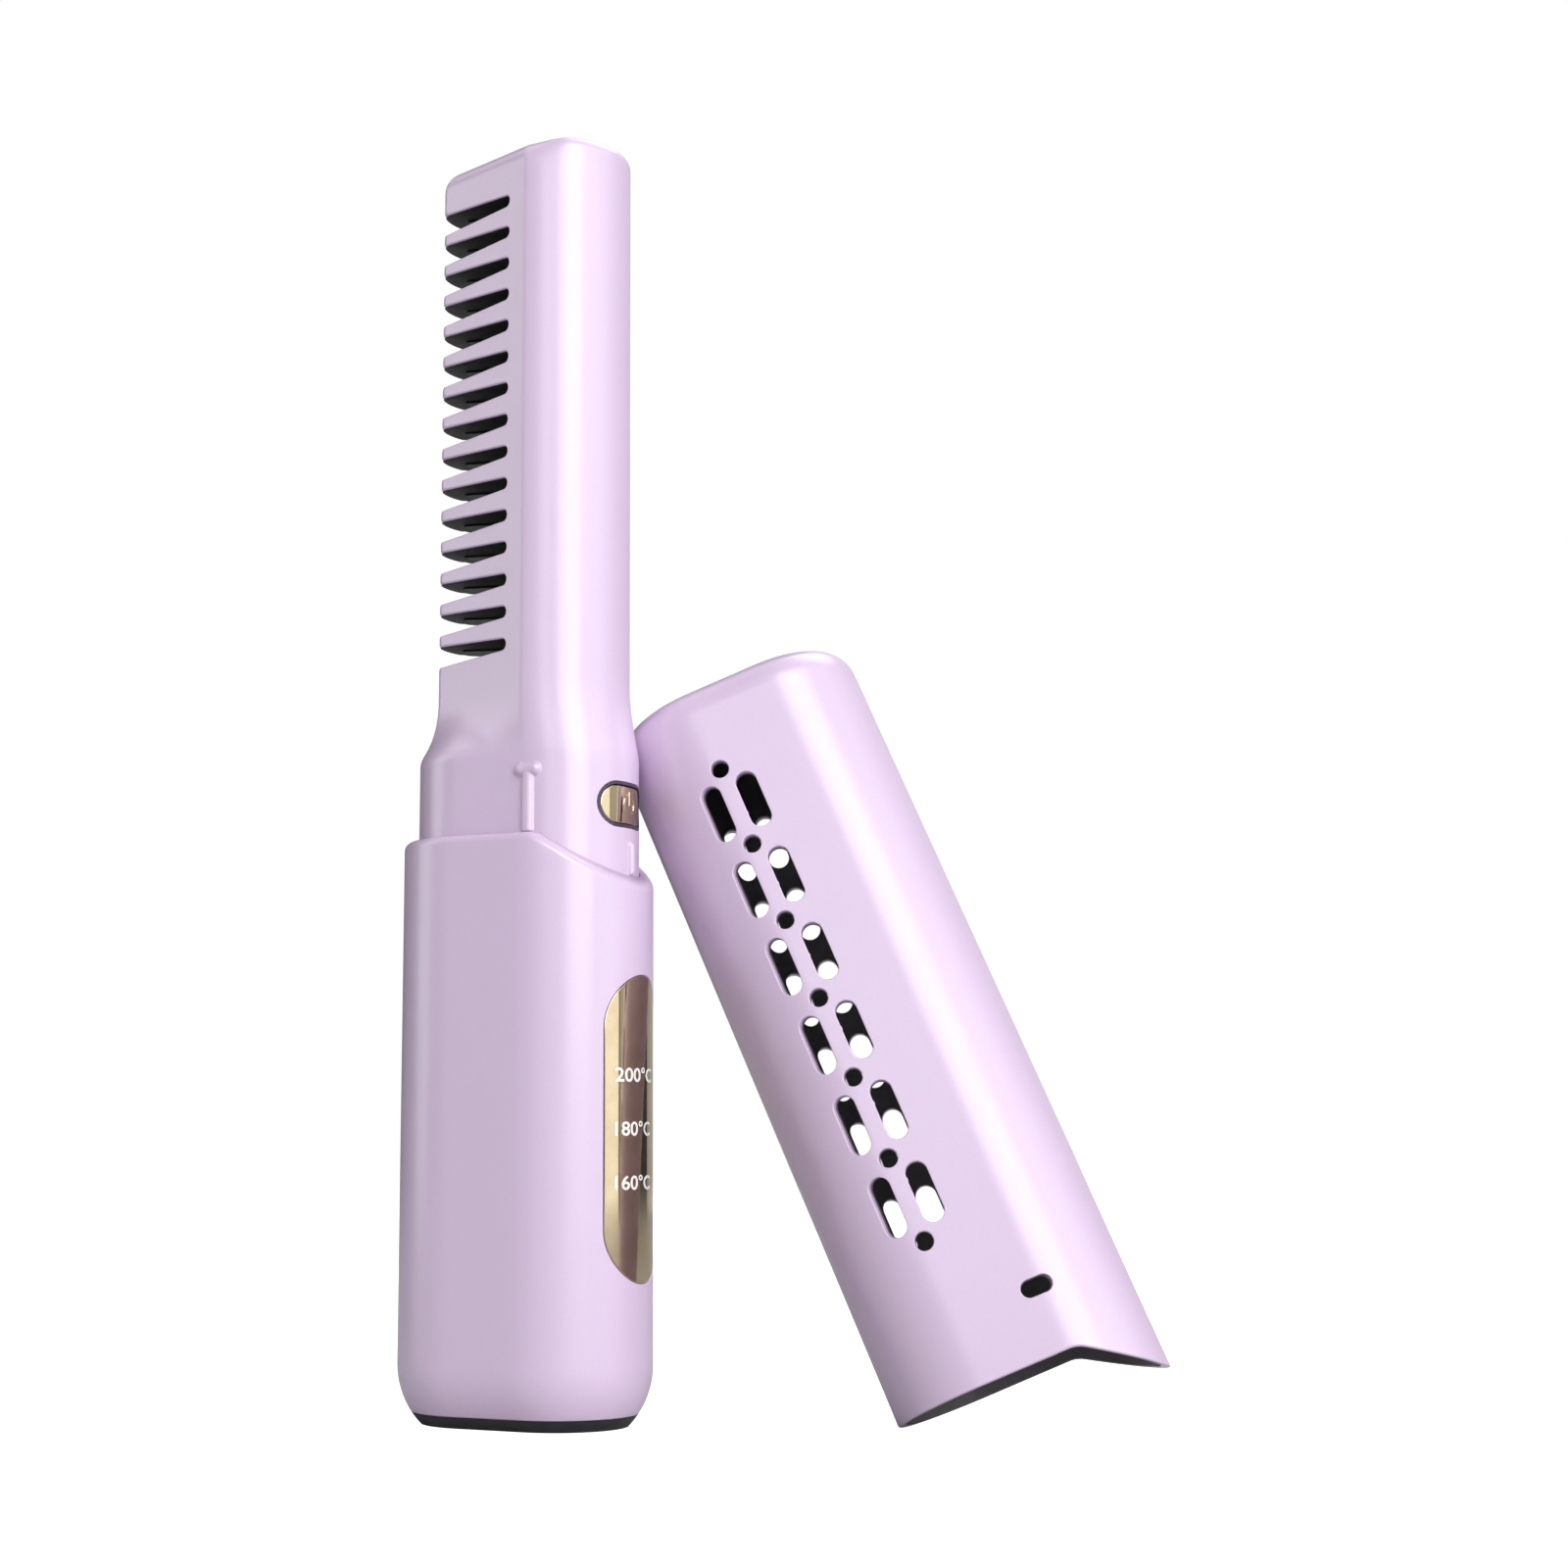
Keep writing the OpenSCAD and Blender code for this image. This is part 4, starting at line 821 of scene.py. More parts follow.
def rib_height(s, z, front):
    """Height of the ribs above the collar at s mm from the spine, measured round the collar.
    The latch rib, on the front alone, is a stem with a bar across its top and a bead at each
    end of the bar."""
    total = 0
    offsets = [(a, b) for a in (-RIB_BLUR, 0, RIB_BLUR) for b in (-RIB_BLUR, 0, RIB_BLUR)]
    for ds, dz in offsets:
        side, up = s + ds, z + dz
        past_end = np.maximum(up - RIB_TOP + RIB_HALF, 0)
        height = half_ellipse(RIB_LIFT, RIB_HALF, np.hypot(side, past_end))
        height = height * smooth((up - RIB_FOOT) / RIB_RUNOUT)
        if front:
            across = side - LATCH_S
            stem = half_ellipse(RIB_LIFT, STEM_HALF, across) * (up < LATCH_Z)
            stem = stem * smooth((up - RIM_Z) / STEM_RUNOUT)
            bar_past = np.maximum(np.abs(across) - BAR_REACH, 0)
            bar = half_ellipse(BAR_LIFT, BAR_HALF, np.hypot(bar_past, up - LATCH_Z))
            bead = half_ellipse(BEAD_LIFT, BEAD_HALF,
                                np.hypot(np.abs(across) - BEAD_AT, up - LATCH_Z))
            height = np.maximum(height, np.maximum(stem, np.maximum(bar, bead)))
        total = total + height
    return total / len(offsets)


def collar_way(u):
    """Way round the collar from the spine, in mm, for the pattern's u. Past the flat it only
    has to lead away from the ribs."""
    along = np.clip((u - U_CREASE) / (U_TIP - U_CREASE), 0, 1)
    way = COLLAR_R * math.pi / 2 * np.clip(u / U_CREASE, -1, 1)
    return (way + STRAIGHT * np.clip(along / FLAT_SHARE, 0, 1)
            + FAR_WAY * np.clip(along - FLAT_SHARE, 0, 1))


rib_check = rib_height(np.array([LATCH_S + BEAD_AT]), np.array([LATCH_Z]), True)
print("the latch rib stands up to", rib_check[0].round(2), "mm above the collar")


def half_place(front):
    """The formula that bends the pattern of the front or the rear half."""
    def place(u, v, depth):
        """The half's form, moved along its normal by the ribs' height less the depth."""
        e = TINY_STEP / 2
        along_u = half_form(u + e, v) - half_form(u - e, v)
        along_v = half_form(u, v + e) - half_form(u, v - e)
        normal = unit(np.cross(along_u, along_v))
        lift = rib_height(collar_way(u), v, front) * (v < COLLAR_TOP)
        lift = lift * np.clip(1 - depth / LIFT_DEPTH, 0, 1)
        points = half_form(u, v) + normal * (lift - depth)[:, None]
        if front:
            points[:, 1] *= -1
        return points
    return place


# %% [markdown]
# The pattern of a half has 15 slots that open at the nose. Each slot runs from a round root to
# a wider mouth, and each tooth ends in a rounded tip. The outline is walked once round with the
# material on its left: along the foot, up the nose with its slots, over the top, down the spine.
# The slots could be cut one by one with booleans, but in one outline every tooth's edge is
# rounded alike.

# %% Pattern of a half
SLOTS, SLOT_PITCH, SLOT_FIRST = 15, 5.13, 9.6
ROOT_X, ROOT_H, MOUTH_H = 1.5, 1.8, 3.6
MOUTH_X = -TIP_X - NOSE_BULGE - 1
GUARD_TOP = COMB_TOP - 3.0
TOOTH_CORNER = 0.7
# Step along a slot and points round its root; then the ring's lip over the opening's edge.
SLOT_STEP, ROOT_POINTS = 0.8, 13
RING_LIP, RING_GAP = 0.8, 0.05
NOTCH_POINTS, TOP_POINTS = 8, 60
# How far each kind of edge is rounded.
PLAIN_EDGE, GUARD_EDGE, SLOT_EDGE = 0.1, 0.2, 0.32
flank_stretch = (U_TIP - U_CREASE) / (crease[0] + TIP_X)
guard_y = TIP_Y - HEAD_WALL / math.cos(flank_angle)
U_GUARD = U_NOSE - nose_r * math.asin(guard_y / nose_r)
u_root = U_CREASE + (crease[0] - (ROOT_X - ROOT_H / 2)) * flank_stretch


def slot_half(u):
    """Half height of a slot at u: it opens evenly from the root to the mouth."""
    x = crease[0] - (u - U_CREASE) / flank_stretch
    share = (ROOT_X - ROOT_H / 2 - x) / (ROOT_X - ROOT_H / 2 - MOUTH_X)
    return ROOT_H / 2 + (MOUTH_H - ROOT_H) / 2 * share


def round_corner(before, corner, after, size, n=5):
    """Points of a parabola that rounds a corner, size long on each side."""
    p = corner + (before - corner) / np.hypot(*(before - corner)) * size
    q = corner + (after - corner) / np.hypot(*(after - corner)) * size
    t = np.linspace(0, 1, n)[:, None]
    return (1 - t) ** 2 * p + 2 * t * (1 - t) * corner + t ** 2 * q


def slot_outline(z):
    """One slot, walked from below: tooth tip, lower edge, root, upper edge, next tooth tip."""
    half = slot_half(U_GUARD)
    low, high = np.array([U_GUARD, z - half]), np.array([U_GUARD, z + half])
    root_low, root_high = np.array([u_root, z - ROOT_H / 2]), np.array([u_root, z + ROOT_H / 2])
    root = arc((u_root, z), ROOT_H / 2, -90, -270, ROOT_POINTS)
    first = round_corner(low - [0, 1], low, root_low, TOOTH_CORNER)
    last = round_corner(root_high, high, high + [0, 1], TOOTH_CORNER)
    return np.vstack([first, run([first[-1], root[0]], SLOT_STEP)[1:], root,
                      run([root[-1], last[0]], SLOT_STEP)[1:], last])


def half_notch():
    """Half of the button's opening at the spine: the ring's outline less its lip, with a gap."""
    half_w = (bezel_high[1] - bezel_low[1]) / 2 - RING_LIP + RING_GAP
    half_h = (bezel_high[2] - bezel_low[2]) / 2 - RING_LIP + RING_GAP
    edge_y = np.linspace(0, half_w - half_h, NOTCH_POINTS)
    notch = np.vstack([
        np.stack([edge_y, np.full(NOTCH_POINTS, half_h)], 1),
        arc((half_w - half_h, 0), half_h, 90, -90, 15)[1:-1],
        np.stack([edge_y[::-1], np.full(NOTCH_POINTS, -half_h)], 1)])
    notch[:, 0] = np.arcsin(notch[:, 0] / COLLAR_R) / (math.pi / 2) * U_CREASE
    notch[:, 1] += BUTTON_Z
    return notch


def half_pattern(v_end):
    """The closed outline of a half and, for each point, the rounding of its edge."""
    slots = [slot_outline(COMB_TOP - SLOT_FIRST - i * SLOT_PITCH) for i in range(SLOTS)][::-1]
    nose = np.vstack(slots)
    notch = half_notch()
    top_u = np.linspace(U_NOSE, 0, TOP_POINTS)
    top = np.stack([top_u, V_FLAT + v_end(top_u)], 1)
    pieces = [
        (run([[0, SPIGOT_Z], [U_NOSE, SPIGOT_Z]], 1.0), PLAIN_EDGE),
        (run([[U_NOSE, SPIGOT_Z], [U_NOSE, NECK_TOP]], 1.0), SEAM_EDGE),
        (run([[U_NOSE, NECK_TOP], [U_GUARD, NECK_TOP]], 1.0), PLAIN_EDGE),
        (run([[U_GUARD, NECK_TOP], nose[0]], 0.5), GUARD_EDGE),
        (nose, SLOT_EDGE),
        (run([nose[-1], [U_GUARD, GUARD_TOP]], 0.5)[1:], GUARD_EDGE),
        (run([[U_GUARD, GUARD_TOP], [U_NOSE, GUARD_TOP]], 1.0), PLAIN_EDGE),
        (run([[U_NOSE, GUARD_TOP], [U_NOSE, V_FLAT]], 0.5), SEAM_EDGE),
        (top[:-1], SEAM_EDGE),
        (run([top[-1], notch[0]], 1.0), SEAM_EDGE),
        (notch[:-1], PLAIN_EDGE),
        (run([notch[-1], [0, SPIGOT_Z]], 0.5), SEAM_EDGE)]
    points = np.vstack([p for p, _ in pieces])
    edges = np.concatenate([np.full(len(p), float(e)) for p, e in pieces])
    return points, edges


print("a slot is", (2 * slot_half(U_GUARD)).round(2), "mm high where it leaves the shell")

# %% [markdown]
# Inside the pattern the points stand close together where the form bends quickly: in the neck,
# at the crease, at the tips and over the ribs. Elsewhere a wider spacing keeps the mesh light.
# The skin is lacquered, and the cut walls of the slots show the black insert's colour.

# %% Make both halves
# Heights between which the rows are closer, and half widths of the fine patches over the ribs.
NECK_ROWS = (100, 113)
RIB_ROWS = (81, 88.6)
RIB_FINE, LATCH_FINE = 1.3, 2.7


def half_middle(u):
    """Way from the end of the rounding to the middle line across the lid."""
    return half_form(u, np.full_like(u, V_FLAT))[:, 1]


def half_fill(front):
    """Points inside the pattern: close together where the form bends quickly."""
    rows = stretches((SPIGOT_Z, NECK_ROWS[0], 1.6), (*NECK_ROWS, 0.45),
                     (NECK_ROWS[1], ROUND_Z, 1.7), (ROUND_Z, V_FLAT + 10, 0.5))
    columns = stretches((0.5, U_CREASE - 1.2, 0.75), (U_CREASE - 1.2, U_CREASE + 1, 0.2),
                        (U_CREASE + 1, U_TIP - 0.9, 1.0), (U_TIP - 0.9, U_NOSE, 0.2))
    points = [grid(columns, rows)]
    rib_side = RIB_FINE / COLLAR_R / (math.pi / 2) * U_CREASE
    points.append(grid(np.arange(0.1, rib_side, 0.1), np.arange(*RIB_ROWS, 0.14)))
    if front:
        way = np.arange(LATCH_S - LATCH_FINE, LATCH_S + LATCH_FINE, 0.13)
        quarter = COLLAR_R * math.pi / 2
        u = np.where(way < quarter, way / quarter * U_CREASE,
                     U_CREASE + (way - quarter) / STRAIGHT * FLAT_SHARE * (U_TIP - U_CREASE))
        points.append(grid(u, np.arange(LATCH_Z - 1.5, LATCH_Z + 1.5, 0.13)))
        stem = np.abs(way - LATCH_S) < RIB_FINE
        points.append(grid(u[stem], np.arange(RIM_Z - 0.6, LATCH_Z - 1.5, 0.25)))
    return np.vstack(points)


for front in (True, False):
    name = "comb_shell_front" if front else "comb_shell_rear"
    outline, edges = half_pattern(half_middle)
    half = shell(half_place(front), [{"points": outline, "edge": edges}], [],
                 half_fill(front), half_thickness, side=-1 if front else 1)
    make_piece(name + "_surface", [half], "comb", [name], "pearl_lilac", "black_nylon")

# %% [markdown]
# ## The outline that handle and cap share
# u runs once round the handle: from the middle of the teeth side along the front face to the
# spine, and back along the rear face. Each depth has its own radius about the same two centres,
# so a wall keeps its thickness all round.

# %% Outline and rim
RIM_FALL, RIM_BEND_X, RIM_BEND_R = math.radians(32), 8.5, 4.0
RIM_ROUND = 1.3
FADE = 8.0
ROUND_STEP = 0.8


def track(u, radius):
    """x and y of the outline with this radius, u mm round the handle's own outline."""
    u = np.mod(u, AROUND)
    shift = np.clip(u - QUARTER, 0, STRAIGHT) - np.clip(u - 3 * QUARTER - STRAIGHT, 0, STRAIGHT)
    turned = (np.clip(u, 0, QUARTER) + np.clip(u - QUARTER - STRAIGHT, 0, 2 * QUARTER)
              + np.clip(u - 3 * QUARTER - 2 * STRAIGHT, 0, QUARTER))
    angle = math.pi + turned / HANDLE_R
    return -REACH + shift + radius * np.cos(angle), radius * np.sin(angle)


def front_u(x):
    """Way round the outline to x on the front face, as seen straight from the front."""
    beyond = np.maximum(np.abs(x) - REACH, 0)
    return QUARTER + REACH + x + np.sign(x) * (HANDLE_R * np.arcsin(beyond / HANDLE_R) - beyond)


def spine_u(y):
    """Way round the outline to y at the spine, as seen straight along X."""
    return AROUND / 2 + HANDLE_R * np.arcsin(y / HANDLE_R)


def rim_line(x):
    """Height of the handle's rim: level, then an arc, then a straight fall to the spine."""
    start = RIM_BEND_X - RIM_BEND_R * math.tan(RIM_FALL / 2)
    width = RIM_BEND_R * math.sin(RIM_FALL)
    bent = np.clip(x - start, 0, width)
    drop = RIM_BEND_R - np.sqrt(RIM_BEND_R ** 2 - bent ** 2)
    return RIM_Z - drop - math.tan(RIM_FALL) * np.maximum(x - start - width, 0)


def follow_rim(u, v, radius, edge):
    """x, y and height of a point near the rim line: the edge of a wall is level through its
    thickness, because the rim line is taken at the point's own x."""
    x, y = track(u, radius)
    surface_x, _ = track(u, np.full_like(u, HANDLE_R))
    lift = rim_line(x) - rim_line(surface_x)
    return x, y, v + lift * smooth(1 - np.abs(v - rim_line(surface_x) + RIM_Z - edge) / FADE)


def loop_round(height, step=ROUND_STEP):
    """Points once round the outline at a height, a number or a function of u."""
    u = np.linspace(0, AROUND, int(AROUND / step), endpoint=False)
    return np.stack([u, height(u) if callable(height) else np.full_like(u, height)], 1)


def backwards(loop):
    """The same closed loop the other way round, with the same first point."""
    return np.vstack([loop[:1], loop[:0:-1]])


around_fill = np.arange(0, AROUND - ROUND_STEP / 2, ROUND_STEP)
print("the rim falls from", RIM_Z.round(1), "to",
      rim_line(np.array([REACH + HANDLE_R]))[0].round(1), "mm at the spine")

# %% [markdown]
# ## The handle
# One injection moulded sleeve, 2 mm thick, that rolls in at the foot. Its rim is level over the
# teeth and falls towards the spine. A slot-shaped opening at the spine takes the display window.
# It could be an extrusion cut by a slanted plane, but the rim's rounding would then be uneven.
# As a pattern, the rim is just a curved upper border, and its edge rolls over like any other.
# The foot's roll is an arc of radius (h^2 + i^2) / 2i for a height h and an inset i.

# %% Make the handle
FOOT_H, FOOT_INSET, HANDLE_WALL = 9.0, 3.7, 2.0
FOOT_R = (FOOT_H ** 2 + FOOT_INSET ** 2) / (2 * FOOT_INSET)
WINDOW_GAP = 0.06
FOOT_EDGE, OPENING_EDGE = 0.15, 0.2


def handle_place(u, v, depth):
    """Bends the pattern round the handle: straight above the foot, an arc below it."""
    foot = FOOT_R - np.sqrt(FOOT_R ** 2 - np.maximum(FOOT_H - v, 0) ** 2)
    x, y, z = follow_rim(u, v, HANDLE_R - foot - depth, RIM_Z)
    return np.stack([x, y, z], -1)


def spine_pill(width, height, z):
    """Slot-shaped outline at the spine, width along Y, in the pattern of the handle."""
    outline = pill(width, height, 0.45)
    return np.stack([spine_u(outline[:, 0]), outline[:, 1] + z], 1)


def rim_of(u):
    """Height of the rim at u."""
    return rim_line(track(u, np.full_like(u, HANDLE_R))[0])


opening = spine_pill(WINDOW_W + 2 * WINDOW_GAP, WINDOW_H + 2 * WINDOW_GAP, WINDOW_Z)
handle_rows = stretches((BASE_EDGE + 0.6, FOOT_H + 1, 0.7), (FOOT_H + 1, RIM_Z - 9, 1.6),
                        (RIM_Z - 9, RIM_Z, 0.8))
handle = shell(handle_place, [
    {"points": loop_round(BASE_EDGE), "edge": FOOT_EDGE, "wrap": AROUND},
    {"points": backwards(loop_round(rim_of)), "edge": RIM_ROUND, "wrap": -AROUND}],
    [{"points": opening[::-1], "edge": OPENING_EDGE}],
    grid(around_fill, handle_rows), HANDLE_WALL, wrap=AROUND, rings=6)
make_piece("handle_surface", [handle], "comb", ["handle_shell"], "pearl_lilac")

# %% [markdown]
# ## The display window
# A clear plate with a gold film behind it, pressed into the opening. It follows the handle's
# round spine and sits 0.06 mm lower, so that a printed mark on it stays flush. A flat plate
# would be simpler but would mirror one even tone. The bent one draws the room as narrow bands.

# %% Make the window
WINDOW_SINK, WINDOW_T, WINDOW_EDGE = 0.06, 1.1, 0.18


def window_place(u, v, depth):
    """The handle's surface, a little lower."""
    return handle_place(u, v, depth + WINDOW_SINK)


def plate_fill(width, height, centre_u, centre_v, step):
    """Even points over a plate."""
    return grid(np.arange(centre_u - width / 2, centre_u + width / 2, step),
                np.arange(centre_v - height / 2, centre_v + height / 2, step))


window_border = {"points": spine_pill(WINDOW_W, WINDOW_H, WINDOW_Z), "edge": WINDOW_EDGE}
window = shell(window_place, [window_border], [],
               plate_fill(WINDOW_W + 1, WINDOW_H, AROUND / 2, WINDOW_Z, 0.6), WINDOW_T)
make_piece("window_surface", [window], "comb", ["display_window"], "gold_mirror")

# %% [markdown]
# ### The temperature marks
# Three marks are printed on the window in white. They start at one line at the left, as on the
# real object, and say the three settings. Blender's own font is made into a thin mesh and then
# wrapped round the spine by the window's formula.

# %% Make the marks
MARK_PITCH, MARK_HEIGHT, MARK_LEFT = 8.0, 2.25, -6.6
# Each mark's words, and its right end in mm from the window's middle line.
MARKS = (("200\u00b0C", 3.5), ("180\u00b0C", 2.7), ("160\u00b0C", 2.7))
STROKE_WIDER, STROKE_DEPTH = 0.018, 0.002
PRINT_ABOVE, PRINT_THICK = 0.01, 0.02


def text_mesh(words):
    """Vertices and faces of a word in Blender's font, about as high as its em."""
    curve = bpy.data.curves.new("mark", "FONT")
    curve.body = words
    curve.offset = STROKE_WIDER
    curve.extrude = STROKE_DEPTH
    curve.resolution_u = 4
    holder = bpy.data.objects.new("mark", curve)
    scene.collection.objects.link(holder)
    bpy.context.view_layer.update()
    final = holder.evaluated_get(bpy.context.evaluated_depsgraph_get())
    mesh = bpy.data.meshes.new_from_object(final)
    points = np.empty(len(mesh.vertices) * 3)
    mesh.vertices.foreach_get("co", points)
    faces = [list(polygon.vertices) for polygon in mesh.polygons]
    bpy.data.objects.remove(holder)
    bpy.data.curves.remove(curve)
    bpy.data.meshes.remove(mesh)
    return points.reshape(-1, 3), faces


def mark(words, right, z):
    """One mark, stretched between the left line and its right end, on the window's surface."""
    points, faces = text_mesh(words)
    low, high = points.min(0), points.max(0)
    share = (points - low) / (high - low)
    u = AROUND / 2 + MARK_LEFT + share[:, 0] * (right - MARK_LEFT)
    v = z - MARK_HEIGHT / 2 + share[:, 1] * MARK_HEIGHT
    at = window_place(u, v, -PRINT_ABOVE - PRINT_THICK * share[:, 2])
    normal = frame_at(window_place, u, v, 1)[2]
    return at, faces, normal, len(faces)


marks = [mark(words, right, WINDOW_Z + (1 - i) * MARK_PITCH)
         for i, (words, right) in enumerate(MARKS)]
make_piece("temperature_marks", marks, "comb", [], "lamp_white")

# %% [markdown]
# ## The power button
# A metallised plastic cap in the collar's spine, inside its dark ring. The sign on it is raised:
# an open ring and a bar. It could be a thin piece laid on top, but a moulded sign has a soft
# foot. Here the height over the sign is a function of the distance from its line, and small
# triangles under it carry the form.

# %% Make the button
BUTTON_W, BUTTON_H, BUTTON_T, BUTTON_SINK = 12.8, 6.0, 1.5, 0.17
SIGN_R, SIGN_LINE, SIGN_LIFT = 1.6, 0.24, 0.16
SIGN_GAP, SIGN_BAR, SIGN_SOFT, SIGN_AREA = 0.8, 1.9, 0.06, 4.2
BUTTON_EDGE = 0.3
FAR = 9


def sign_height(u, v):
    """Raised sign: an open ring of radius SIGN_R and a bar through its gap. The height falls
    smoothly over the last SIGN_SOFT to both sides of the line's edge."""
    ring = np.abs(np.hypot(u, v) - SIGN_R)
    ring = np.where((v > 0) & (np.abs(u) < SIGN_GAP), FAR, ring)
    bar = np.hypot(u, v - np.clip(v, 0.0, SIGN_BAR))
    return SIGN_LIFT * smooth((SIGN_LINE + SIGN_SOFT - np.minimum(ring, bar)) / (2 * SIGN_SOFT))


def button_place(u, v, depth):
    """The round spine of the collar with the sign raised on it; u is the way from its middle."""
    raised = sign_height(u, v - BUTTON_Z) * np.clip(1 - depth / BUTTON_EDGE, 0, 1)
    radius = COLLAR_R - BUTTON_SINK - depth + raised
    return np.stack([REACH + radius * np.cos(u / COLLAR_R), radius * np.sin(u / COLLAR_R), v], -1)


button_outline = pill(BUTTON_W, BUTTON_H, 0.3)
button_outline = np.stack([COLLAR_R * np.arcsin(button_outline[:, 0] / COLLAR_R),
                           button_outline[:, 1] + BUTTON_Z], 1)
button_points = np.vstack([plate_fill(BUTTON_W + 2, BUTTON_H, 0, BUTTON_Z, 0.45),
                           plate_fill(SIGN_AREA, SIGN_AREA, 0, BUTTON_Z, 0.06)])
button = shell(button_place, [{"points": button_outline, "edge": BUTTON_EDGE}], [],
               button_points, BUTTON_T)
make_piece("button_surface", [button], "button", ["power_button"], "gold_mirror")

# %% [markdown]
# ## The cap and its lining
# The cap is a lilac moulding with a black moulding inside it. Its side is the handle's outline,
# its mouth follows the handle's rim line, and its closed end is rounded. Vents go through both
# faces, so the background shows through. It stands on its lower corner and leans on the collar.
# It could be made upright and turned as an object, but a finished piece keeps its place in its
# mesh. The turn is part of the bending formula, and the box of the frame's cap gives its place.

# %% Form of the cap
# Turns about X, -Y and Z that lean the cap on the collar.
CAP_TIP, CAP_LEAN, CAP_TURN = math.radians(-8.9), math.radians(23.0), math.radians(21.5)
CAP_ROUND, CAP_WALL, LINER_WALL = 5.0, 1.2, 0.8
CAP_LEN = 115.4
LINER_GAP = 0.02
CAP_SIDE = CAP_LEN - CAP_ROUND
CAP_FLAT = CAP_SIDE + CAP_ROUND * math.pi / 2
# Along the face and up from the mouth's level part: the row of round vents, the pairs of slots
# beside it, and the keyhole that takes the latch rib.
VENT_X, VENT_D, VENT_FIRST, VENT_PITCH, VENTS = -5.7, 2.3, 100.5, 13.1, 7
SLOT_GAP, SLOT_W, SLOT_L = 5.95, 3.0, 9.0
LATCH_X, LATCH_UP, LATCH_W, LATCH_H, LATCH_STEM = 6.6, 9.8, 4.7, 2.5, 2.4
SPINE_GROOVE_UP = 0.1
# Rounding of the rims, how much wider it makes the openings, and the grooves' clearances.
VENT_ROUND, VENT_WIDER = 0.17, 0.3
ROUND_VENT_WIDER, LATCH_SNUG, LINER_VENT_EDGE = 0.25, 0.2, 0.08
MOUTH_EDGE, LINER_EDGE = 0.3, 0.06
GROOVE_CLEAR, KEYHOLE_OPEN = 0.2, 0.05


def turn_matrix(axis, angle):
    """Matrix of a turn about one axis."""
    c, s = math.cos(angle), math.sin(angle)
    j, k = [(1, 2), (2, 0), (0, 1)][axis]
    matrix = np.eye(3)
    matrix[j, j], matrix[j, k], matrix[k, j], matrix[k, k] = c, -s, s, c
    return matrix


CAP_TURNED = turn_matrix(2, CAP_TURN) @ turn_matrix(1, -CAP_LEAN) @ turn_matrix(0, CAP_TIP)


def cap_local(u, v, depth):
    """Bends the pattern round the upright cap: v is the height up the side, then the way over
    the rounded end, then the way across the end. Depth is taken along the profile's normal."""
    turn = np.clip((v - CAP_SIDE) / CAP_ROUND, 0, math.pi / 2)
    across = np.maximum(v - CAP_FLAT, 0)
    radius = HANDLE_R - CAP_ROUND * (1 - np.cos(turn)) - across - depth * np.cos(turn)
    x, y, z = follow_rim(u, np.minimum(v, CAP_SIDE), radius, 0)
    return np.stack([x, y, z + (CAP_ROUND - depth) * np.sin(turn)], -1)


def cap_edge_of(u):
    """Height of the cap's lower edge at u: the rim line, counted from its level stretch."""
    return rim_of(u) - RIM_Z


sample = np.vstack([grid(around_fill, np.linspace(0, CAP_FLAT, 40)),
                    loop_round(cap_edge_of, 0.1)])
sample = cap_local(sample[:, 0], sample[:, 1], np.zeros(len(sample))) @ CAP_TURNED.T
CAP_AT = box_mm("cap_shell")[0] - sample.min(0)
print("the cap's own origin stands at", CAP_AT.round(2), "mm")


def cap_place(u, v, depth):
    """The cap where it stands and leans."""
    return cap_local(u, v, depth) @ CAP_TURNED.T + CAP_AT


def liner_place(u, v, depth):
    """The lining, under the cap's wall."""
    return cap_place(u, v, depth + CAP_WALL + LINER_GAP)


# %% Vents, and both pieces of the cap
def face_hole(x, z, width, height, rear, edge):
    """An opening through the front or the rear face, with its material on the left."""
    outline = pill(width + VENT_WIDER, height + VENT_WIDER, 0.35)
    u = front_u(outline[:, 0] + x)
    points = np.stack([AROUND - u if rear else u, outline[:, 1] + z], 1)
    return {"points": points if rear else points[::-1], "edge": edge}


def vents(edge):
    """Seven round vents in a row and six pairs of slots between them, through both faces."""
    found = []
    for rear in (False, True):
        for i in range(VENTS):
            z = VENT_FIRST - i * VENT_PITCH
            found.append(face_hole(VENT_X, z, VENT_D + ROUND_VENT_WIDER,
                                   VENT_D + ROUND_VENT_WIDER, rear, edge))
            if i < VENTS - 1:
                for side in (-1, 1):
                    found.append(face_hole(VENT_X + side * SLOT_GAP / 2, z - VENT_PITCH / 2,
                                           SLOT_W, SLOT_L, rear, edge))
    return found


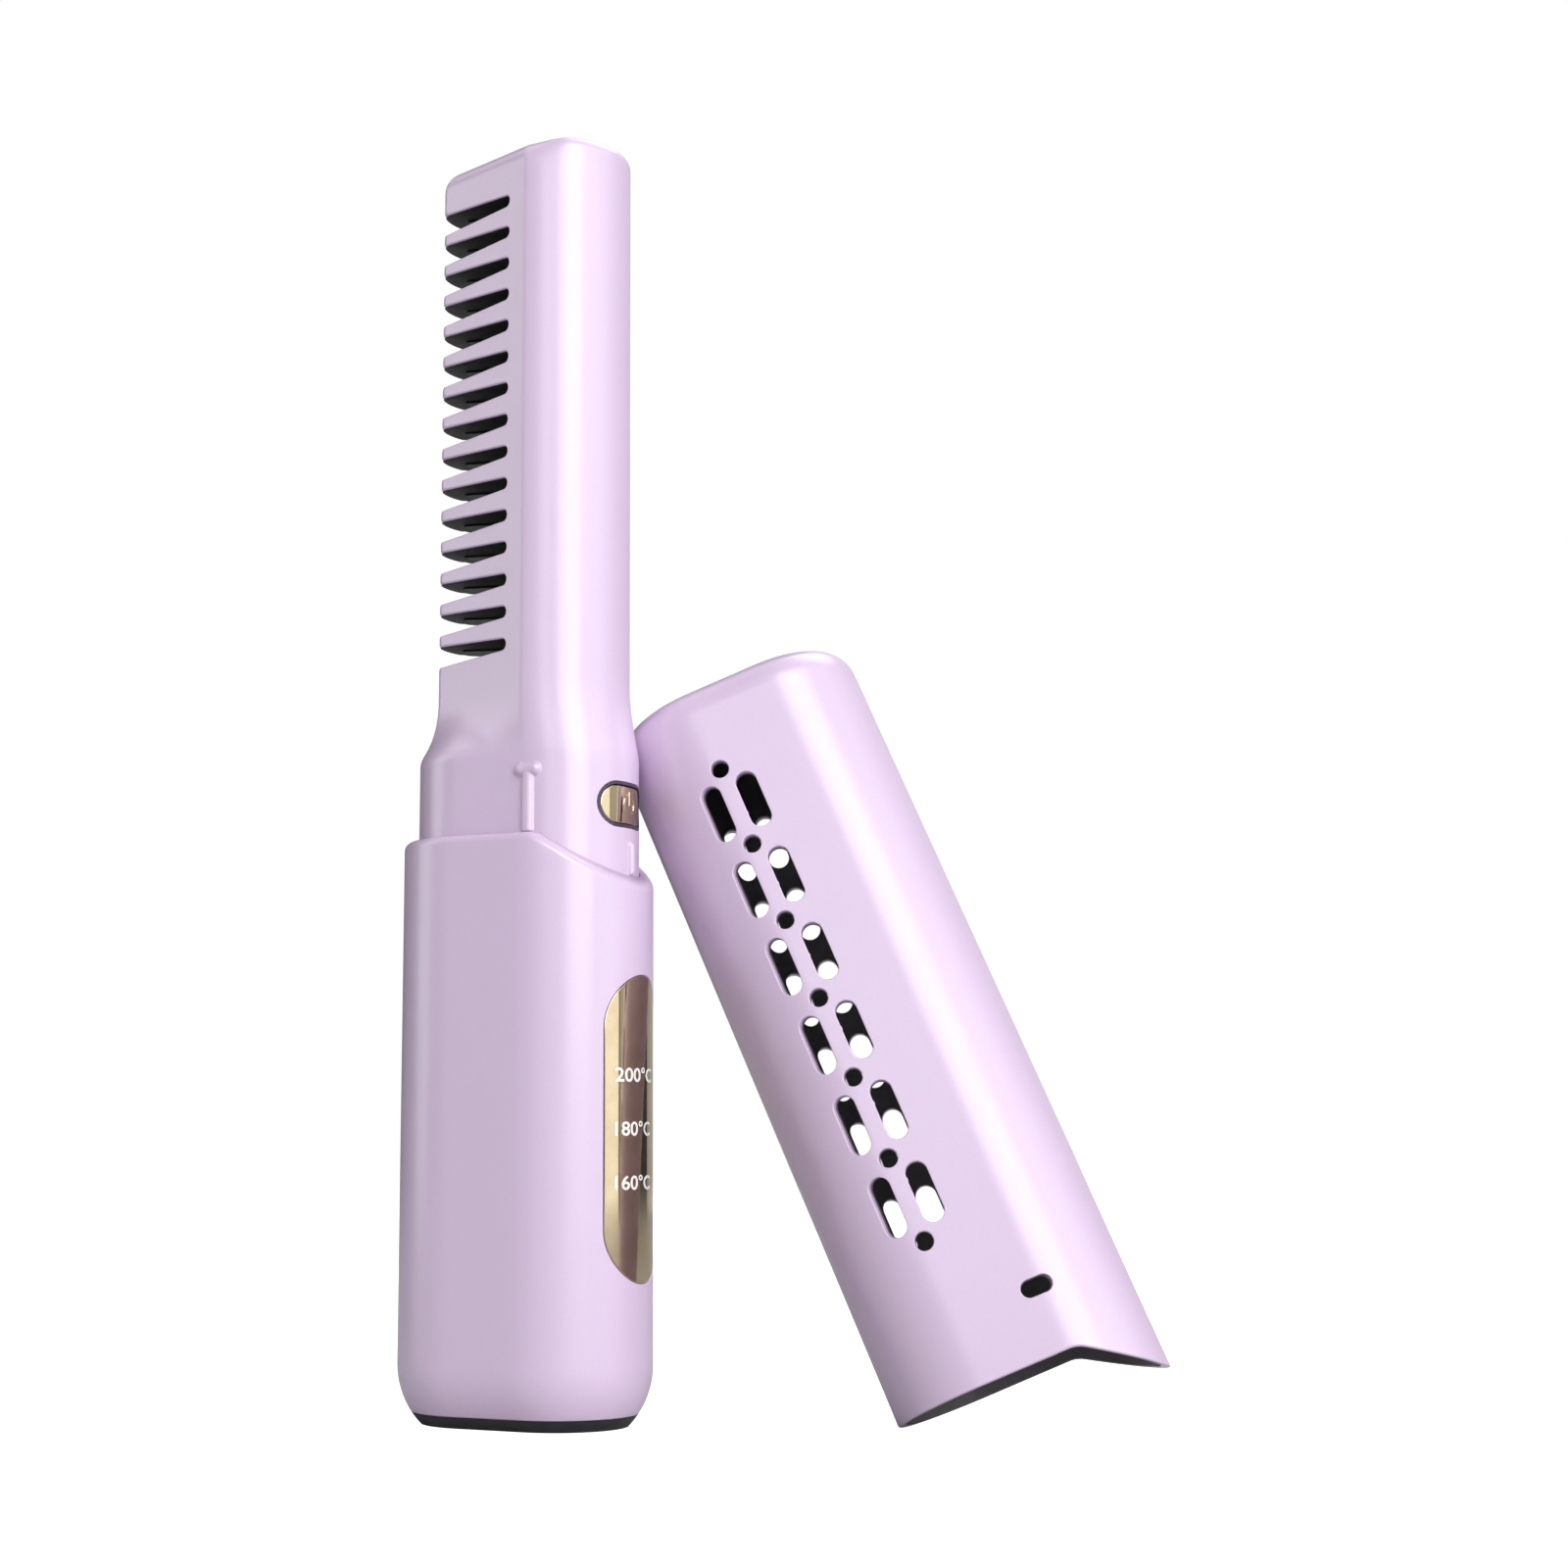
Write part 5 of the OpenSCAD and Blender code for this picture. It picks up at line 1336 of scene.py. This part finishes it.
def liner_edge():
    """Lower edge of the lining, with a keyhole groove for the latch rib and one for the spine's."""
    loop = loop_round(cap_edge_of)
    half_stem = LATCH_STEM / 2
    keyhole = pill(LATCH_W, LATCH_H, 0.3)
    start = np.argmin(np.abs(keyhole[:, 0] + half_stem) + FAR * (keyhole[:, 1] > 0))
    keyhole = np.roll(keyhole, -start, 0)[::-1]
    keyhole = keyhole[(keyhole[:, 1] > -LATCH_H / 2 + KEYHOLE_OPEN)
                      | (np.abs(keyhole[:, 0]) > half_stem)]
    sides = [front_u(LATCH_X - half_stem), front_u(LATCH_X + half_stem)]
    foot = [float(cap_edge_of(np.array([side]))[0]) for side in sides]
    stem_top = LATCH_UP - LATCH_H - 2
    latch = np.vstack([[[sides[0], foot[0]], [sides[0], stem_top]],
                       np.stack([front_u(keyhole[:, 0] + LATCH_X), keyhole[:, 1] + LATCH_UP], 1),
                       [[sides[1], stem_top], [sides[1], foot[1]]]])
    groove = [spine_u(-half_stem), spine_u(half_stem)]
    low = float(cap_edge_of(np.array([groove[0]]))[0])
    spine = np.array([[groove[0], low], [groove[0], SPINE_GROOVE_UP],
                      [groove[1], SPINE_GROOVE_UP], [groove[1], low]])
    first = loop[loop[:, 0] < sides[0] - GROOVE_CLEAR]
    middle = loop[(loop[:, 0] > sides[1] + GROOVE_CLEAR) & (loop[:, 0] < groove[0] - GROOVE_CLEAR)]
    last = loop[loop[:, 0] > groove[1] + GROOVE_CLEAR]
    return np.vstack([first, latch, middle, spine, last])


cap_lid = {"points": backwards(loop_round(CAP_FLAT + 1.0)), "edge": 0.0,
           "wrap": -AROUND, "lid": True}
cap_fill = grid(around_fill, stretches((-9, 9, 0.8), (9, CAP_SIDE - 1, 1.5),
                                       (CAP_SIDE - 1, CAP_FLAT + 0.6, 0.5)))
mouth = {"points": loop_round(cap_edge_of), "edge": MOUTH_EDGE, "wrap": AROUND}
latch_hole = face_hole(LATCH_X, LATCH_UP, LATCH_W - LATCH_SNUG, LATCH_H - LATCH_SNUG,
                       False, VENT_ROUND)
cap = shell(cap_place, [mouth, cap_lid], vents(VENT_ROUND) + [latch_hole], cap_fill,
            CAP_WALL, wrap=AROUND)
make_piece("cap_surface", [cap], "cap", ["cap_shell"], "pearl_lilac")

liner_mouth = {"points": liner_edge(), "edge": LINER_EDGE, "wrap": AROUND}
liner = shell(liner_place, [liner_mouth, cap_lid], vents(LINER_VENT_EDGE), cap_fill,
              LINER_WALL - 2 * LINER_GAP, wrap=AROUND)
make_piece("cap_liner_surface", [liner], "cap", ["cap_liner"], "cap_lining")

# %% [markdown]
# ## Light and floor
# The lacquer is lit by one wide softbox on the spine's side of the camera, which draws the bright
# band down the comb and the cap, and by a weaker one on the teeth side. Dark space between them
# gives the pale edges their grey line. Dim cards on the right are there for the gold, which
# mirrors them as bands. A small softbox near the camera fills the front faces. The last three
# hang high above the rear and the teeth, for the tops and for views from the back. They are high
# because a low lamp behind the object would turn its dark outlines white.
#
# The object stands on a white light table: it shines for the camera alone, so the picture's
# ground is white and the light table doesn't light the object from below.

# %% Build the light table and the backdrop
FLOOR_HALF = 6.0
TABLE_GLOW = 1.0
ROOM_LIGHT, BACKDROP_LIGHT = 0.06, 1.0
WHITE = (1, 1, 1, 1)

floor_mesh = bpy.data.meshes.new("floor")
corners = [(FLOOR_HALF * x, FLOOR_HALF * y, 0) for x, y in ((-1, -1), (1, -1), (1, 1), (-1, 1))]
floor_mesh.from_pydata(corners, [], [(0, 1, 2, 3)])
floor = bpy.data.objects.new("floor", floor_mesh)
scene.collection.objects.link(floor)
floor_material, tree, where = new_material("white_light_table")
seen = add(tree, "ShaderNodeLightPath").outputs["Is Camera Ray"]
table_light = add(tree, "ShaderNodeMath", {0: seen, 1: TABLE_GLOW}, operation="MULTIPLY")
finish_surface(floor_material, tree, {
    "Base Color": tone(tree, where, 400.0, "#c0c0c0", "#c5c5c5"), "Roughness": 0.9,
    "Specular IOR Level": 0.1, "Emission Color": WHITE,
    "Emission Strength": table_light.outputs[0]})
floor_mesh.materials.append(floor_material)
floor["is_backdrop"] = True

world = bpy.data.worlds.new("studio")
scene.world = world
world.use_nodes = True
tree = world.node_tree
tree.nodes.clear()
seen = add(tree, "ShaderNodeLightPath").outputs["Is Camera Ray"]
room = add(tree, "ShaderNodeBackground", {"Color": WHITE, "Strength": ROOM_LIGHT})
backdrop = add(tree, "ShaderNodeBackground", {"Color": WHITE, "Strength": BACKDROP_LIGHT})
both = add(tree, "ShaderNodeMixShader", {0: seen, 1: room.outputs[0], 2: backdrop.outputs[0]})
add(tree, "ShaderNodeOutputWorld", {"Surface": both.outputs[0]})
print("light table:", 2 * FLOOR_HALF, "m wide")


# %% Softboxes and cards
AIM = (0.03, 0, 0.1)


def softbox(name, azimuth, width, radiance, height=0.4, tall=1.2, distance=1.2):
    """A rectangular lamp at an azimuth round the object, turned to face it. Sizes are in metres.
    A flat lamp of an area sends out pi x area x radiance watts."""
    lamp = bpy.data.lights.new(name, "AREA")
    lamp.shape = "RECTANGLE"
    lamp.size, lamp.size_y = width, tall
    lamp.energy = math.pi * width * tall * radiance
    holder = bpy.data.objects.new(name, lamp)
    a = math.radians(azimuth)
    stand = np.array([distance * math.cos(a), distance * math.sin(a), height])
    to_aim = np.array(AIM) - stand
    holder.location = stand.tolist()
    turn = math.atan2(to_aim[1], to_aim[0]) - math.pi / 2
    tilt = math.atan2(to_aim[2], math.hypot(to_aim[0], to_aim[1]))
    holder.rotation_euler = (math.pi / 2 + tilt, 0, turn)
    scene.collection.objects.link(holder)
    print(f"{name}: {width:.2f} by {tall:.2f} m at {azimuth} degrees, {lamp.energy:.1f} W")


softbox("key", -37, 0.80, 5.3, height=0.70, tall=1.3)
softbox("teeth_side", -160, 0.50, 2.2)
softbox("near_camera", -76, 0.34, 2.6, height=0.48, tall=0.5)
softbox("cream_card", 0.5, 0.69, 1.6)
softbox("tan_card", 24, 0.29, 0.6)
softbox("grey_card", 92, 0.80, 0.42)
softbox("overhead", 80, 1.0, 0.7, height=1.5, tall=1.0, distance=0.5)
softbox("rear_high", 72, 1.2, 2.2, height=1.5, tall=0.9, distance=0.9)
softbox("teeth_high", 172, 0.9, 1.0, height=1.5, tall=0.8, distance=0.9)
scene.view_settings.view_transform = "Standard"

# %% [markdown]
# ## The size of the finished surfaces
# The box of the finished surfaces is measured, and its largest difference from the frame's own
# box is printed, so that any change of the object's size by the looks shows.

# %% Compare the boxes of the finished surfaces and the frame
visual_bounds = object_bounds()
grown = np.abs(np.array(visual_bounds, float) - np.array(cad_bounds, float)).max() / MM
print(f"the two boxes differ by {grown:.2f} mm at most")
